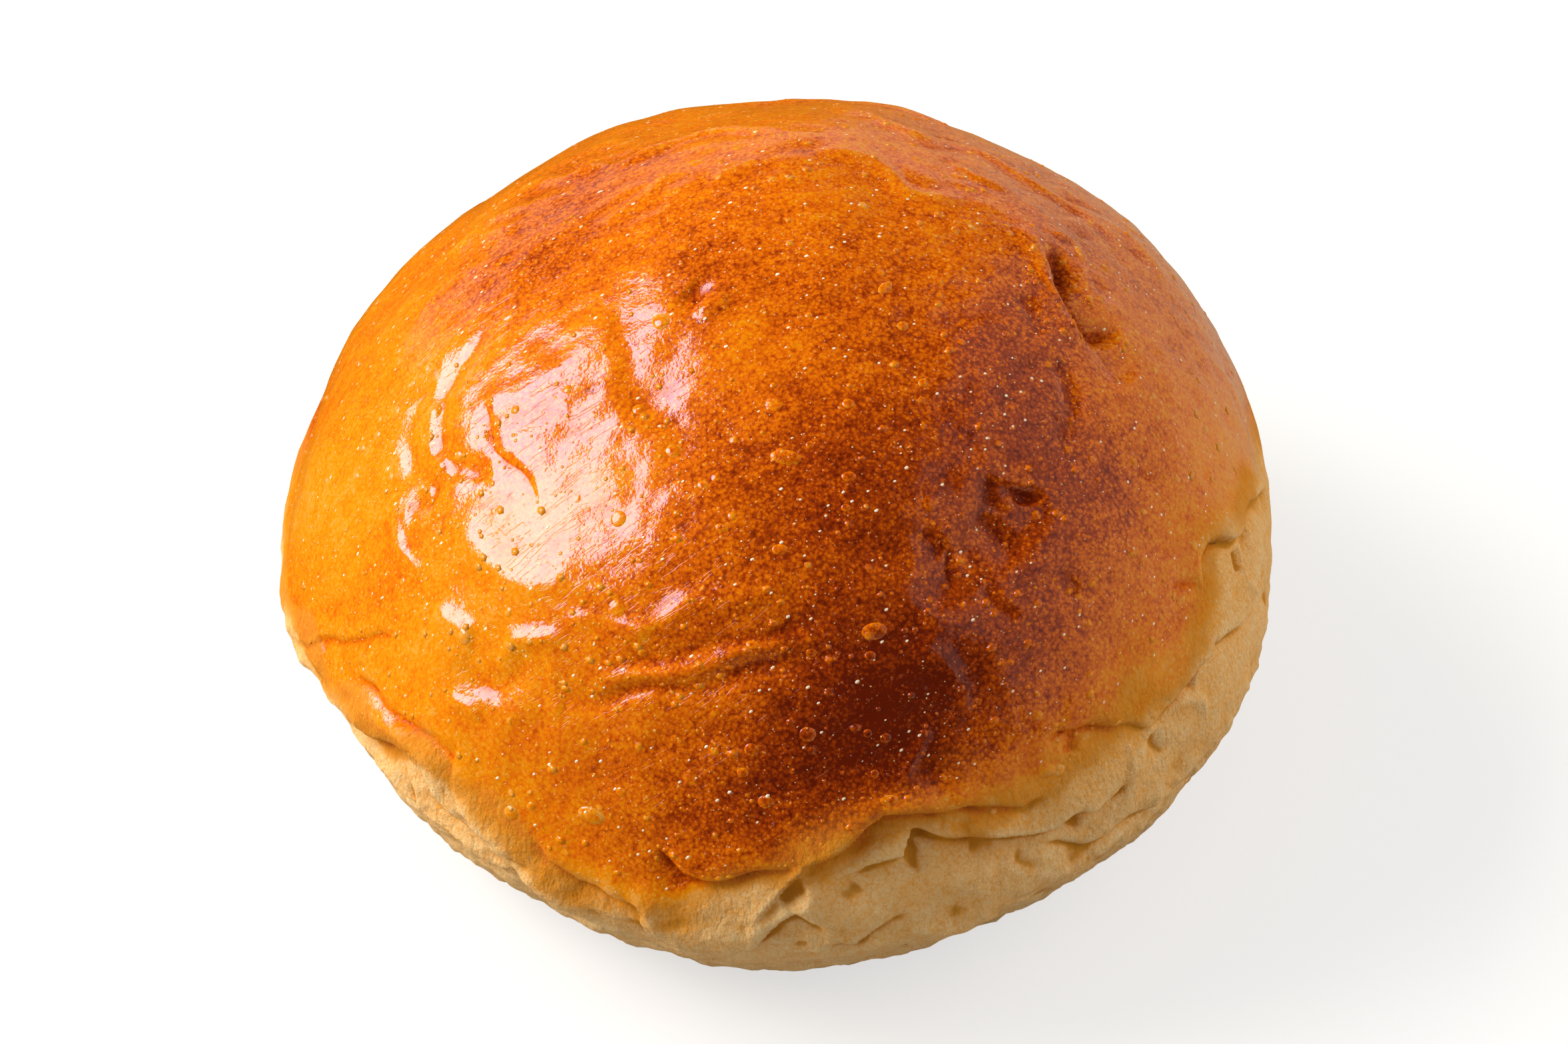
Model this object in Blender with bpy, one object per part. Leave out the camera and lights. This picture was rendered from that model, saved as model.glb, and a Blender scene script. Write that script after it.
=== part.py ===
"""A whole, uncut burger bun: a glossy domed crown over a paler pinched base that rests flat."""

import math

import bmesh
import bpy
import numpy as np

# Overall size, in metres
RADIUS = 0.052
HEIGHT = 0.0616
WAIST_HEIGHT = 0.0187
BASE_DROP = 0.0006

# How square the crown and the base are in side view: 2 is an ellipse
CROWN_SQUARENESS = 1.825
BASE_SQUARENESS = 3.94
FOOT_SHARE = 0.855
FOOT_CURVE = 1.5

# The base is tucked in under the crown by this share of the radius, within this angle
TUCK_SHARE = 0.049
TUCK_ANGLE = 9.0

# The tuck is softer, within so many degrees more, on the side of this azimuth
TUCK_EXTRA = 26.0
TUCK_SOFT_AZIMUTH = -45.0

# How far the bun is out of round, as shares of its radius, and towards which azimuth
OVAL_SHARE = 0.021
OVAL_AZIMUTH = 107.0
TRIANGLE_SHARE = 0.0123
TRIANGLE_AZIMUTH = -83.0

# How far the top of the crown leans over the base, in metres
LEAN_X = 0.0049
LEAN_Y = 0.0024

# Fineness of the mesh: squares along each side of the first cube, and the triangles kept
CUBE_SQUARES = 96
TRIANGLES_KEPT = 11400

# Slow swells of the whole crust: (height, wavelength) in millimetres
SWELLS = ((0.22, 34.0), (0.10, 17.0), (0.035, 8.0))
SWELL_WAVES = 26
SWELL_SEED = 11

# Lumps of the base in millimetres, which fade out below a height in metres and over a depth in metres
LUMP_SWELL = 0.12
LUMP_LENGTH = 5.0
LUMP_SEED = 67
LUMP_HEIGHT = 0.026
LUMP_FADE = 0.008

# How far the paths of the folds wander off their straight runs, in millimetres
WANDER = 0.45
WANDER_LENGTH = 10.0
WANDER_SEED = 23

# Folds are no narrower than this in millimetres, and their upper sides step up this sharply
NARROWEST_FOLD = 0.9
STEP_SHARPNESS = 3.5

# The flat base stays free of relief up to this height, in metres
CALM_HEIGHT = 0.0012
SNAP_HEIGHT = 0.00008

# Colour of the crust
CRUST_COLOUR = (0.62, 0.25, 0.055, 1.0)
CRUST_ROUGHNESS = 0.35

# Azimuth 0 points along +X, -90 to the front; latitude 0 is the waist and 90 the top.
# A fold is (height, half width, swell of its upper side, swell of its lower side, reach)
# in millimetres, then its path as (azimuth, latitude) in degrees. Upper is the side on
# the left of the path, seen from outside. A path of one point is a round bump or dent.
CROWN_LIP = (
    (-0.7, 0.45, 0.7, -0.9, 3.5, (
        (-162, 1), (-156, 2), (-151, 2), (-142, 4), (-134, 7), (-131, 6), (-124, 3), (-119, 1),
    )),
    (-0.7, 0.45, 0.7, -0.9, 3.5, (
        (-121, 2), (-117, -1), (-115, -6), (-113, -10), (-110, -14), (-107, -20), (-101, -21),
    )),
    (-0.9, 0.5, 0.4, -0.4, 3.0, (
        (-117, 8), (-115, 4), (-112, 2), (-110, 3), (-106, 2), (-104, 1), (-102, -6), (-100, -12),
    )),
    (-1.0, 0.6, 0.5, -0.5, 3.0, ((-104, 11), (-100, 9), (-96, 9), (-94, 10), (-91, 11), (-90, 12))),
    (-0.9, 0.4, 0.9, -1.3, 3.5, (
        (-89, 12), (-87, 13), (-84, 14), (-82, 15), (-80, 16), (-76, 16), (-73, 16),
    )),
    (-0.8, 0.5, 0.5, -0.5, 2.5, ((-75, 16), (-71, 16.5), (-67, 15.5), (-64, 14), (-61, 14))),
    (-0.9, 0.4, 0.6, -1.0, 3.5, (
        (-85, 10), (-81, 10.5), (-78, 11), (-76.5, 13.5), (-74, 13), (-70, 12), (-65, 10.5),
        (-59, 8), (-53, 8), (-49, 7),
    )),
    (-0.6, 0.8, 0.3, -0.3, 3.5, ((-52, 3), (-46, 1), (-40, -1), (-34, -2))),
)

FRONT_BASE_FOLDS = (
    (0.7, 0.6, 0.0, -0.8, 2.5, ((-93, 2), (-92, 4), (-91, 6), (-90, 9), (-89, 11), (-87, 13))),
    (-0.8, 0.4, 0.6, -0.9, 3.0, (
        (-106, -17), (-100, -16), (-96, -14), (-93, -4), (-90, 1), (-88, 3), (-85, 2),
    )),
    (-0.7, 0.5, 0.4, -0.3, 3.0, ((-107, 3), (-105, 2), (-103, -8), (-101, -13))),
    (-0.5, 0.6, 0.3, -0.3, 3.0, ((-86, 0), (-82, -3), (-80, 1), (-77, 3))),
    (-0.8, 1.3, 0.0, 0.0, 3.0, ((-90.5, 4.5), (-89, 6.5), (-87.5, 8))),
    (-0.6, 1.2, 0.0, 0.0, 3.0, ((-84, 7), (-82.5, 8.5))),
    (-0.8, 1.0, 0.0, 0.0, 3.0, ((-77, 9.5), (-76, 12))),
    (-0.7, 0.9, 0.0, 0.0, 3.0, ((-74, 15), (-72, 14), (-70, 13.5))),
    (-0.6, 0.9, 0.0, 0.0, 3.0, ((-85, 12), (-82, 13), (-79, 14))),
    (-0.7, 0.9, 0.0, 0.0, 3.0, ((-70, 10.5), (-67, 9.5))),
    (-0.9, 0.9, 0.0, 0.0, 3.0, ((-57, 7.5), (-56, 6))),
    (-0.7, 1.0, 0.0, 0.0, 3.0, ((-54.5, 8.5), (-52, 7.5), (-50, 7))),
    (0.5, 0.9, 0.0, 0.0, 2.5, ((-85, 11.5), (-83, 11.5), (-80, 12), (-78, 13))),
    (0.4, 0.8, 0.0, 0.0, 2.5, ((-87, 12), (-86.5, 9), (-87, 6), (-86, 4))),
    (-0.5, 0.6, 0.3, -0.4, 2.5, ((-61, 6), (-57, 4), (-52, 2.5), (-47, 1))),
    (0.5, 1.8, 0.0, 0.0, 3.0, ((-84, -7), (-76, -5), (-66, -4))),
    (-0.4, 0.6, 0.0, 0.0, 3.0, ((-64, 8), (-64, 5), (-62, 2))),
    (0.4, 1.4, 0.0, 0.0, 3.0, ((-73, 8), (-70, 6), (-67, 6))),
)

RIGHT_EDGE_FOLDS = (
    (-0.9, 0.6, 0.3, -0.4, 3.0, (
        (-60, 21), (-58, 22), (-56, 21), (-53, 19.5), (-51, 18), (-49, 17), (-45, 14),
    )),
    (-0.6, 0.8, 0.0, 0.0, 3.0, ((-56, 20.5), (-57, 18))),
    (-0.9, 0.9, 0.2, -0.2, 3.0, ((-44.5, 13), (-44, 10), (-43, 7))),
    (-0.9, 1.0, 0.0, 0.0, 3.0, ((-38, 15.5), (-36.5, 13.5))),
    (-0.9, 0.9, 0.0, 0.0, 3.0, ((-33.5, 15.5), (-32, 14))),
    (-0.9, 0.45, 0.6, -0.7, 3.5, (
        (-45, 14), (-42, 15), (-38, 15), (-32, 15), (-28, 14), (-24, 13.5), (-17, 12), (-9, 11),
    )),
    (0.5, 0.8, 0.0, 0.0, 3.0, ((-42, 15), (-39, 13), (-36, 10), (-35, 7))),
    (0.6, 1.8, 0.0, 0.0, 3.0, ((-51, 11), (-46, 9))),
    (0.4, 0.5, 0.0, 0.0, 3.0, ((-49, 12.4), (-46, 10.8), (-44, 8), (-46, 6.5))),
    (-0.5, 0.45, 0.3, -0.3, 2.5, ((-60, 9), (-56, 8.8), (-54, 6.8))),
    (0.4, 0.8, 0.0, 0.0, 3.0, ((-60, 17.5), (-60, 16))),
    (0.3, 0.6, 0.0, 0.0, 3.0, ((-78, 20), (-76, 24.4), (-73, 28))),
    (0.3, 0.8, 0.0, 0.0, 3.0, ((-73, 36.8), (-72, 34.4), (-70, 32.4))),
    (-0.8, 0.45, 0.6, -0.7, 3.5, (
        (-32, 21), (-31, 23), (-28, 25), (-25, 25), (-21, 23), (-18, 22), (-11, 20), (-3, 15),
    )),
    (-0.5, 0.9, 0.0, 0.0, 3.0, ((-37, 28), (-34, 26), (-31, 24))),
    (-0.8, 1.0, 0.0, 0.0, 3.0, ((-20, 21.5), (-21, 19))),
    (-0.5, 1.0, 0.0, 0.0, 3.0, ((-14, 19), (-18, 20))),
    (0.4, 0.6, 0.0, 0.0, 3.0, ((-21, 18), (-20, 15), (-20, 12))),
    (-0.6, 0.8, 0.3, -0.3, 3.0, ((-27, 4), (-18, 6), (-10, 6), (0, 8))),
)

LEFT_EDGE_FOLDS = (
    (-0.35, 0.4, 0.2, -0.15, 2.5, (
        (-166, -1), (-161, 3), (-158, 7), (-154, 10), (-151, 14), (-148, 17), (-144, 19),
    )),
    (-0.4, 0.8, 0.0, 0.0, 3.0, ((-158, 6), (-157, 8))),
    (-0.8, 0.6, 0.4, 0.1, 3.0, (
        (-154, 9), (-150, 8.5), (-145, 10), (-140, 11), (-135, 12), (-130, 12), (-128, 9),
        (-126, 6),
    )),
    (-0.6, 0.5, 0.4, -0.3, 3.0, ((-127, 6), (-125, 5), (-121, 3.5), (-117, 3))),
    (0.6, 1.3, 0.0, 0.0, 3.0, ((-148, 6), (-142, 8), (-137, 9), (-132, 9), (-129, 7))),
    (-0.4, 0.5, 0.2, -0.2, 2.0, ((-139, 4), (-136, 2), (-133, -1), (-129, -5))),
    (-0.4, 0.6, 0.2, -0.2, 2.0, ((-125, -7), (-121, -8), (-118, -12), (-114, -16))),
    (0.4, 1.2, 0.0, 0.0, 3.0, ((-144, -3), (-138, -6), (-132, -9))),
)

CROWN_DENTS = (
    (-1.3, 1.1, 0.0, 0.0, 3.0, ((6, 60), (-1, 60), (-6, 60), (-10, 58), (-12, 55.5), (-11, 54), (-9, 51))),
    (-0.8, 1.7, 0.0, 0.0, 3.0, ((4, 58.5), (-4, 58), (-10, 55), (-14, 52), (-16, 47))),
    (0.6, 0.6, 0.0, 0.0, 3.0, ((12, 59.5), (14, 58), (15, 56.5), (12, 56), (6, 56))),
    (0.5, 1.5, 0.0, 0.0, 3.0, ((14, 63), (2, 63), (-10, 61), (-17, 56))),
    (-0.5, 0.45, 0.0, 0.0, 3.0, ((5, 64.5), (1, 64), (-3, 63), (-6, 62))),
    (-0.4, 0.45, 0.0, 0.0, 3.0, ((15, 61.5), (10, 61))),
    (-0.3, 0.35, 0.1, -0.1, 2.0, ((0, 65), (-7, 63.5), (-11, 61), (-14, 58))),
    (-0.5, 0.9, 0.0, 0.0, 3.0, ((-13, 66), (-16, 64), (-19, 62), (-21, 60))),
    (-0.6, 1.2, 0.0, 0.0, 3.0, ((-24, 57), (-28, 55), (-32, 54), (-36, 52), (-40, 49))),
    (-0.8, 1.5, 0.0, 0.0, 3.0, ((-51, 50.5), (-51.5, 48.5))),
    (-0.55, 1.1, 0.0, 0.0, 3.0, ((-56, 52), (-57, 50), (-58, 48.5))),
    (-0.5, 1.2, 0.0, 0.0, 3.0, ((-61, 49), (-59, 47), (-57, 45), (-56, 43.5))),
    (-0.5, 1.2, 0.0, 0.0, 3.0, ((-71, 50.5), (-70, 49), (-68, 46.5))),
    (-0.35, 0.45, 0.1, -0.1, 2.0, ((-66, 47), (-68, 44.5), (-68, 42))),
    (-0.45, 0.8, 0.0, 0.0, 3.0, ((-63, 41.5), (-62, 39), (-60, 36.5))),
    (-0.45, 1.0, 0.0, 0.0, 3.0, ((-52, 39.5), (-52, 35))),
    (-0.4, 1.2, 0.0, 0.0, 3.0, ((-52, 36), (-47, 34))),
    (-0.8, 2.6, 0.0, 0.0, 3.0, ((-48, 48), (-56, 47), (-60, 46), (-64, 45), (-68, 43.5), (-73, 41))),
    (0.0, 4.0, 0.25, -0.25, 6.0, ((-117, 54), (-125, 58), (-139, 62), (-158, 64), (-166, 63))),
    (-0.6, 1.8, 0.0, 0.0, 3.0, ((-150, 73.5), (-140, 74.5))),
    (0.5, 1.4, 0.0, 0.0, 3.0, ((-136, 72), (-128, 76))),
    (-0.4, 0.4, 0.15, -0.1, 2.5, ((-158, 47.5), (-152, 46), (-148, 46), (-141, 45), (-134, 43.5))),
    (-0.6, 1.4, 0.0, 0.0, 3.0, ((-156, 37), (-153, 40), (-147, 44))),
    (-0.6, 1.3, 0.0, 0.0, 3.0, ((-174, 50), (-166, 43), (-161, 41), (-157, 37))),
    (-0.6, 1.1, 0.0, 0.0, 3.0, ((-156, 37), (-153, 34), (-154, 31))),
    (-0.5, 1.6, 0.0, 0.0, 3.0, ((-172, 41), (-164, 36), (-157, 34), (-153, 34))),
    (0.45, 1.2, 0.0, 0.0, 3.0, ((-158, 30.5), (-151, 27.5), (-146, 26.5))),
    (0.45, 1.2, 0.0, 0.0, 3.0, ((-141, 25.5), (-135, 26))),
    (0.45, 1.2, 0.0, 0.0, 3.0, ((-130, 27.5), (-120, 31.5))),
    (0.3, 1.7, 0.0, 0.0, 3.0, ((-148, 35), (-140, 35), (-130, 36.5), (-122, 39), (-112, 43))),
    (-0.5, 1.5, 0.0, 0.0, 3.0, ((-136, 22), (-128, 24), (-121, 27))),
    (0.45, 1.2, 0.0, 0.0, 3.0, ((-122, 33.5), (-113, 37), (-107, 40), (-99, 43.5), (-92, 45))),
    (0.35, 1.0, 0.0, 0.0, 3.0, ((-133, 18), (-128, 19.5))),
    (0.35, 1.0, 0.0, 0.0, 3.0, ((-125, 20.5), (-118, 24.5))),
    (0.5, 1.1, 0.0, 0.0, 3.0, ((-116, 29), (-107, 32), (-102, 35), (-98, 36.8), (-91, 37.6))),
    (-0.4, 1.1, 0.0, 0.0, 3.0, ((-117, 31), (-106, 35), (-100, 37.6), (-94, 39.5), (-87, 41))),
    (-0.5, 1.2, 0.0, 0.0, 3.0, (
        (-121, 25.5), (-111, 29), (-106, 30.8), (-100, 33.6), (-92, 35.6), (-84, 37),
    )),
)

CROWN_RIDGES = (
    (0.35, 1.0, 0.0, 0.0, 3.0, ((166, 28), (157, 34), (154, 43), (152, 50), (152, 57))),
    (0.35, 1.0, 0.0, 0.0, 3.0, ((170, 33), (161, 38), (158, 45), (159, 52))),
    (0.3, 0.9, 0.0, 0.0, 3.0, ((174, 39), (168, 46), (167, 54))),
    (0.6, 1.0, 0.0, 0.0, 3.0, ((144, 44), (143, 54), (137, 60), (124, 64), (110, 66), (97, 70))),
    (0.4, 1.0, 0.0, 0.0, 3.0, ((167, 65), (152, 69), (138, 70))),
    (0.4, 1.0, 0.0, 0.0, 3.0, ((152, 76), (133, 78), (115, 78))),
    (0.5, 1.2, 0.0, 0.0, 3.0, ((86, 57), (74, 62), (62, 62), (52, 58), (40, 55), (29, 48), (17, 44))),
    (0.4, 1.2, 0.0, 0.0, 3.0, ((88, 76), (60, 77), (36, 77), (20, 72))),
    (0.4, 1.0, 0.0, 0.0, 3.0, ((47, 67), (36, 66), (28, 62))),
    (0.5, 1.6, 0.0, 0.0, 3.0, ((34, 49), (25, 42), (16, 38))),
)

# The lip and its folds carry on round the hidden back
BACK_FOLDS = (
    (-1.0, 1.0, 0.5, -0.6, 5.0, ((6, 9), (20, 6), (33, 9), (46, 5), (58, 7))),
    (-1.1, 1.0, 0.5, -0.7, 5.0, ((52, 3), (66, 6), (81, 3), (96, 7), (108, 6))),
    (-1.0, 1.0, 0.5, -0.6, 5.0, ((101, 2), (116, 5), (131, 2), (146, 4), (158, 0))),
    (-0.9, 1.0, 0.4, -0.5, 4.0, ((150, -2), (165, 1), (180, -3), (194, -5))),
    (-0.6, 1.1, 0.3, -0.3, 3.0, ((18, 15), (28, 17), (40, 15), (52, 17))),
    (-0.6, 1.1, 0.3, -0.3, 3.0, ((84, 14), (96, 17), (110, 15), (122, 16))),
    (0.6, 1.2, 0.0, -0.4, 3.0, ((24, -4), (36, -1), (48, -3), (62, -1))),
    (0.6, 1.2, 0.0, -0.4, 3.0, ((92, -3), (106, 0), (122, -4), (138, -2))),
    (-0.8, 1.5, 0.0, 0.0, 3.0, ((70, 38), (76, 35), (84, 34))),
    (-0.6, 1.3, 0.0, 0.0, 3.0, ((118, 30), (128, 27), (140, 29))),
    (-0.7, 1.4, 0.0, 0.0, 3.0, ((30, 30), (40, 27), (50, 29))),
    (0.4, 1.2, 0.0, 0.0, 3.0, ((60, 50), (74, 46), (90, 48), (106, 45))),
)

# Slow bulges and flats of the outline
OUTLINE_SWELLS = (
    (-0.9, 9.0, 0.0, 0.0, 3.0, ((35, 48),)),
    (-0.4, 9.0, 0.0, 0.0, 3.0, ((64, 54),)),
    (0.6, 8.0, 0.0, 0.0, 3.0, ((115, 43),)),
    (-1.0, 8.0, 0.0, 0.0, 3.0, ((154, 34),)),
    (0.5, 8.0, 0.0, 0.0, 3.0, ((-147, 1),)),
    (-0.8, 7.0, 0.0, 0.0, 3.0, ((-64, -21),)),
    (-0.5, 9.0, 0.0, 0.0, 3.0, ((-38, 1),)),
    (-0.5, 8.0, 0.0, 0.0, 3.0, ((-14, 8),)),
)

ALL_FOLDS = (
    CROWN_LIP
    + FRONT_BASE_FOLDS
    + RIGHT_EDGE_FOLDS
    + LEFT_EDGE_FOLDS
    + CROWN_DENTS
    + CROWN_RIDGES
    + BACK_FOLDS
    + OUTLINE_SWELLS
)

MILLIMETRE = 0.001


def squared_circle(angle, squareness):
    """Distance from the centre to a superellipse of half axes one, at an angle."""
    across = np.abs(np.cos(angle)) ** squareness
    along = np.abs(np.sin(angle)) ** squareness
    return (across + along) ** (-1.0 / squareness)


def crust_point(azimuth, latitude):
    """Points of the smooth bun at these azimuths and latitudes, in radians."""
    oval = OVAL_SHARE * np.cos(2.0 * (azimuth - math.radians(OVAL_AZIMUTH)))
    triangle = TRIANGLE_SHARE * np.cos(3.0 * (azimuth - math.radians(TRIANGLE_AZIMUTH)))
    radius = RADIUS * (1.0 + oval + triangle)
    up = np.maximum(latitude, 0.0)
    down = np.maximum(-latitude, 0.0)
    crown = squared_circle(up, CROWN_SQUARENESS)
    base = squared_circle(down, BASE_SQUARENESS)
    soft = np.maximum(np.cos(azimuth - math.radians(TUCK_SOFT_AZIMUTH)), 0.0)
    tuck_angle = np.radians(TUCK_ANGLE + TUCK_EXTRA * soft)
    tucked = np.minimum(down / tuck_angle, 1.0)
    narrowing = 1.0 - (1.0 - FOOT_SHARE) * np.sin(down) ** FOOT_CURVE
    narrowing *= 1.0 - TUCK_SHARE * tucked * tucked * (3.0 - 2.0 * tucked)
    crown_out = radius * np.cos(up) * crown
    base_out = radius * np.cos(down) * base * narrowing
    crown_height = WAIST_HEIGHT + (HEIGHT - WAIST_HEIGHT) * np.sin(up) * crown
    base_height = WAIST_HEIGHT - (WAIST_HEIGHT + BASE_DROP) * np.sin(down) * base
    out = np.where(latitude >= 0.0, crown_out, base_out)
    height = np.where(latitude >= 0.0, crown_height, np.maximum(base_height, 0.0))
    x = out * np.cos(azimuth) + LEAN_X * height / HEIGHT
    y = out * np.sin(azimuth) + LEAN_Y * height / HEIGHT
    return np.stack([x, y, height], axis=-1)


def waves(points, wavelength, seed):
    """A smooth random field of about unit size: plane waves in random directions."""
    rng = np.random.default_rng(seed)
    direction = rng.normal(size=(SWELL_WAVES, 3))
    direction /= np.linalg.norm(direction, axis=1, keepdims=True)
    stretch = rng.uniform(0.75, 1.35, SWELL_WAVES)
    phase = rng.uniform(0.0, 2.0 * math.pi, SWELL_WAVES)
    turn = 2.0 * math.pi / wavelength
    field = np.zeros(len(points))
    for ray, pull, start in zip(direction, stretch, phase):
        field += np.sin(turn * pull * (points @ ray) + start)
    return field * math.sqrt(2.0 / SWELL_WAVES)


def fold_relief(points, normals, fold):
    """Height in millimetres that one fold adds at each point."""
    height, width, upper, lower, reach, path = fold
    width = max(width, NARROWEST_FOLD)
    degrees = np.radians(np.array(path, dtype=float))
    stations = crust_point(degrees[:, 0], degrees[:, 1]) / MILLIMETRE
    if len(stations) == 1:
        away = np.linalg.norm(points - stations[0], axis=1)
        return height * np.exp(-((away / width) ** 2))
    lengths = np.linalg.norm(np.diff(stations, axis=0), axis=1)
    starts = np.concatenate([[0.0], np.cumsum(lengths)])
    nearest = np.full(len(points), np.inf)
    side = np.zeros(len(points))
    travelled = np.zeros(len(points))
    for first, last, length, start in zip(stations, stations[1:], lengths, starts):
        tangent = (last - first) / length
        along = np.clip((points - first) @ tangent, 0.0, length)
        offset = points - first - along[:, None] * tangent
        away = np.linalg.norm(offset, axis=1)
        left = np.einsum("ij,ij->i", np.cross(normals, tangent), offset)
        closer = away < nearest
        nearest = np.where(closer, away, nearest)
        side = np.where(closer, left, side)
        travelled = np.where(closer, start + along, travelled)
    share = travelled / starts[-1]
    fade = 1.0 - (2.0 * share - 1.0) ** 4
    groove = height * np.exp(-((nearest / width) ** 2))
    above = 0.5 * (1.0 + np.tanh(STEP_SHARPNESS * side / width))
    step = (upper * above + lower * (1.0 - above)) * np.exp(-((nearest / reach) ** 2))
    return fade * (groove + step)


def dough_relief(points, normals):
    """Height in metres of all swells and folds at these points."""
    fine = points / MILLIMETRE
    relief = np.zeros(len(fine))
    for index, (height, wavelength) in enumerate(SWELLS):
        relief += height * waves(fine, wavelength, SWELL_SEED + index)
    drift = [waves(fine, WANDER_LENGTH, WANDER_SEED + axis) for axis in range(3)]
    wandered = fine + WANDER * np.stack(drift, axis=-1)
    for fold in ALL_FOLDS:
        relief += fold_relief(wandered, normals, fold)
    bare = np.clip((LUMP_HEIGHT - points[:, 2]) / LUMP_FADE, 0.0, 1.0)
    relief += bare * LUMP_SWELL * waves(fine, LUMP_LENGTH, LUMP_SEED)
    calm = np.clip(points[:, 2] / CALM_HEIGHT, 0.0, 1.0)
    return MILLIMETRE * relief * calm


def even_cube(squares):
    """A cube of side two with this many squares along each side."""
    shape = bmesh.new()
    bmesh.ops.create_cube(shape, size=2.0)
    bmesh.ops.subdivide_edges(shape, edges=shape.edges[:], cuts=squares - 1, use_grid_fill=True)
    return shape


def vertex_array(shape, name):
    """The positions or normals of all vertices as rows."""
    return np.array([getattr(vertex, name)[:] for vertex in shape.verts])


def move_vertices(shape, places):
    """Puts the vertices at these places and works out their normals again."""
    for vertex, place in zip(shape.verts, places):
        vertex.co = place
    shape.normal_update()


def bun_mesh():
    """The bun before its triangles are thinned out."""
    shape = even_cube(CUBE_SQUARES)
    even = np.tan(vertex_array(shape, "co") * math.pi / 4.0)
    even /= np.linalg.norm(even, axis=1, keepdims=True)
    azimuth = np.arctan2(even[:, 1], even[:, 0])
    latitude = np.arcsin(np.clip(even[:, 2], -1.0, 1.0))
    smooth = crust_point(azimuth, latitude)
    move_vertices(shape, smooth)
    normals = vertex_array(shape, "normal")
    raised = smooth + normals * dough_relief(smooth, normals)[:, None]
    raised[:, 2] = np.maximum(raised[:, 2], 0.0)
    move_vertices(shape, raised)
    mesh = bpy.data.meshes.new("bun")
    shape.to_mesh(mesh)
    shape.free()
    return mesh


def thin_out(bun):
    """Keeps small triangles at the folds and larger ones on the calm parts."""
    bun.data.calc_loop_triangles()
    thinning = bun.modifiers.new("thin out", "DECIMATE")
    thinning.ratio = TRIANGLES_KEPT / len(bun.data.loop_triangles)
    thinning.use_collapse_triangulate = True
    bpy.context.view_layer.objects.active = bun
    bpy.ops.object.modifier_apply(modifier=thinning.name)


def set_down(bun):
    """Centres the bun over the origin and makes its underside exactly flat."""
    places = np.array([vertex.co[:] for vertex in bun.data.vertices])
    middle = 0.5 * (places.min(axis=0) + places.max(axis=0))
    places[:, :2] -= middle[:2]
    places[places[:, 2] < SNAP_HEIGHT, 2] = 0.0
    bun.data.vertices.foreach_set("co", places.ravel())
    bun.data.update()


def crust_material():
    """The baked, egg-washed crust."""
    material = bpy.data.materials.new("crust")
    material.use_nodes = True
    shader = material.node_tree.nodes["Principled BSDF"]
    shader.inputs["Base Color"].default_value = CRUST_COLOUR
    shader.inputs["Roughness"].default_value = CRUST_ROUGHNESS
    material.diffuse_color = CRUST_COLOUR
    return material


def build():
    for old in list(bpy.data.objects):
        bpy.data.objects.remove(old, do_unlink=True)
    bun = bpy.data.objects.new("bun", bun_mesh())
    bpy.context.scene.collection.objects.link(bun)
    thin_out(bun)
    set_down(bun)
    bun.data.materials.append(crust_material())
    bun.data.shade_smooth()


build()
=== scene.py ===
"""Finishes a whole burger bun: a finely folded crust, baked colours, small blisters and a plain studio."""

import math

import bmesh
import bpy
import numpy as np
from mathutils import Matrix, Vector


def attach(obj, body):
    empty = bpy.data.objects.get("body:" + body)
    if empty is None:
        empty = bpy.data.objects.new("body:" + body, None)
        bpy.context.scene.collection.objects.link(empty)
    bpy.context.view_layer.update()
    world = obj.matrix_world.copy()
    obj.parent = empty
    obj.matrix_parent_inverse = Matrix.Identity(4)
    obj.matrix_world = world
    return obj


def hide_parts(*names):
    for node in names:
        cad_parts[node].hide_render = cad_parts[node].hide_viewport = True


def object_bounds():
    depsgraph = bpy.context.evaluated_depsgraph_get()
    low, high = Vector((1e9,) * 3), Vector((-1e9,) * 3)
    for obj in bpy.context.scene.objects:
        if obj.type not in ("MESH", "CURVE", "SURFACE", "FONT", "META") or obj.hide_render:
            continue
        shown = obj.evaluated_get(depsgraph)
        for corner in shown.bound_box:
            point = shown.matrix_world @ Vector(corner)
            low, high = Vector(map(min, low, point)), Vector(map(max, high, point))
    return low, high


bl_info = {
    "name": "Burger Bun",
    "version": (1, 0, 0),
    "blender": (4, 5, 0),
    "location": "3D View > Sidebar > Bun",
    "description": "A whole, glossy burger bun with folds and blisters in its crust",
    "category": "Add Mesh",
}

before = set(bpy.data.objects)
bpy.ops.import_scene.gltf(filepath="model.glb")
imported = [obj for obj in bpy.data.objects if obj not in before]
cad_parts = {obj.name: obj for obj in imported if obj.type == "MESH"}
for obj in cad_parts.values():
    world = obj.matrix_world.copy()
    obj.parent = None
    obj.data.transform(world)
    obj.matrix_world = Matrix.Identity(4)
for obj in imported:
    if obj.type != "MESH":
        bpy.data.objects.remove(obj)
CAD_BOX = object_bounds()

# Overall form, the same as the solid's, in metres, shares of the radius and degrees
RADIUS = 0.052
HEIGHT = 0.0616
WAIST_HEIGHT = 0.0187
BASE_DROP = 0.0006
CROWN_SQUARENESS = 1.825
BASE_SQUARENESS = 3.94
FOOT_SHARE = 0.855
FOOT_CURVE = 1.5
TUCK_SHARE = 0.049
TUCK_ANGLE = 9.0
TUCK_EXTRA = 26.0
TUCK_SOFT_AZIMUTH = -45.0
OVAL_SHARE = 0.021
OVAL_AZIMUTH = 107.0
TRIANGLE_SHARE = 0.0123
TRIANGLE_AZIMUTH = -83.0
LEAN_X = 0.0049
LEAN_Y = 0.0024

MILLIMETRE = 0.001

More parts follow.
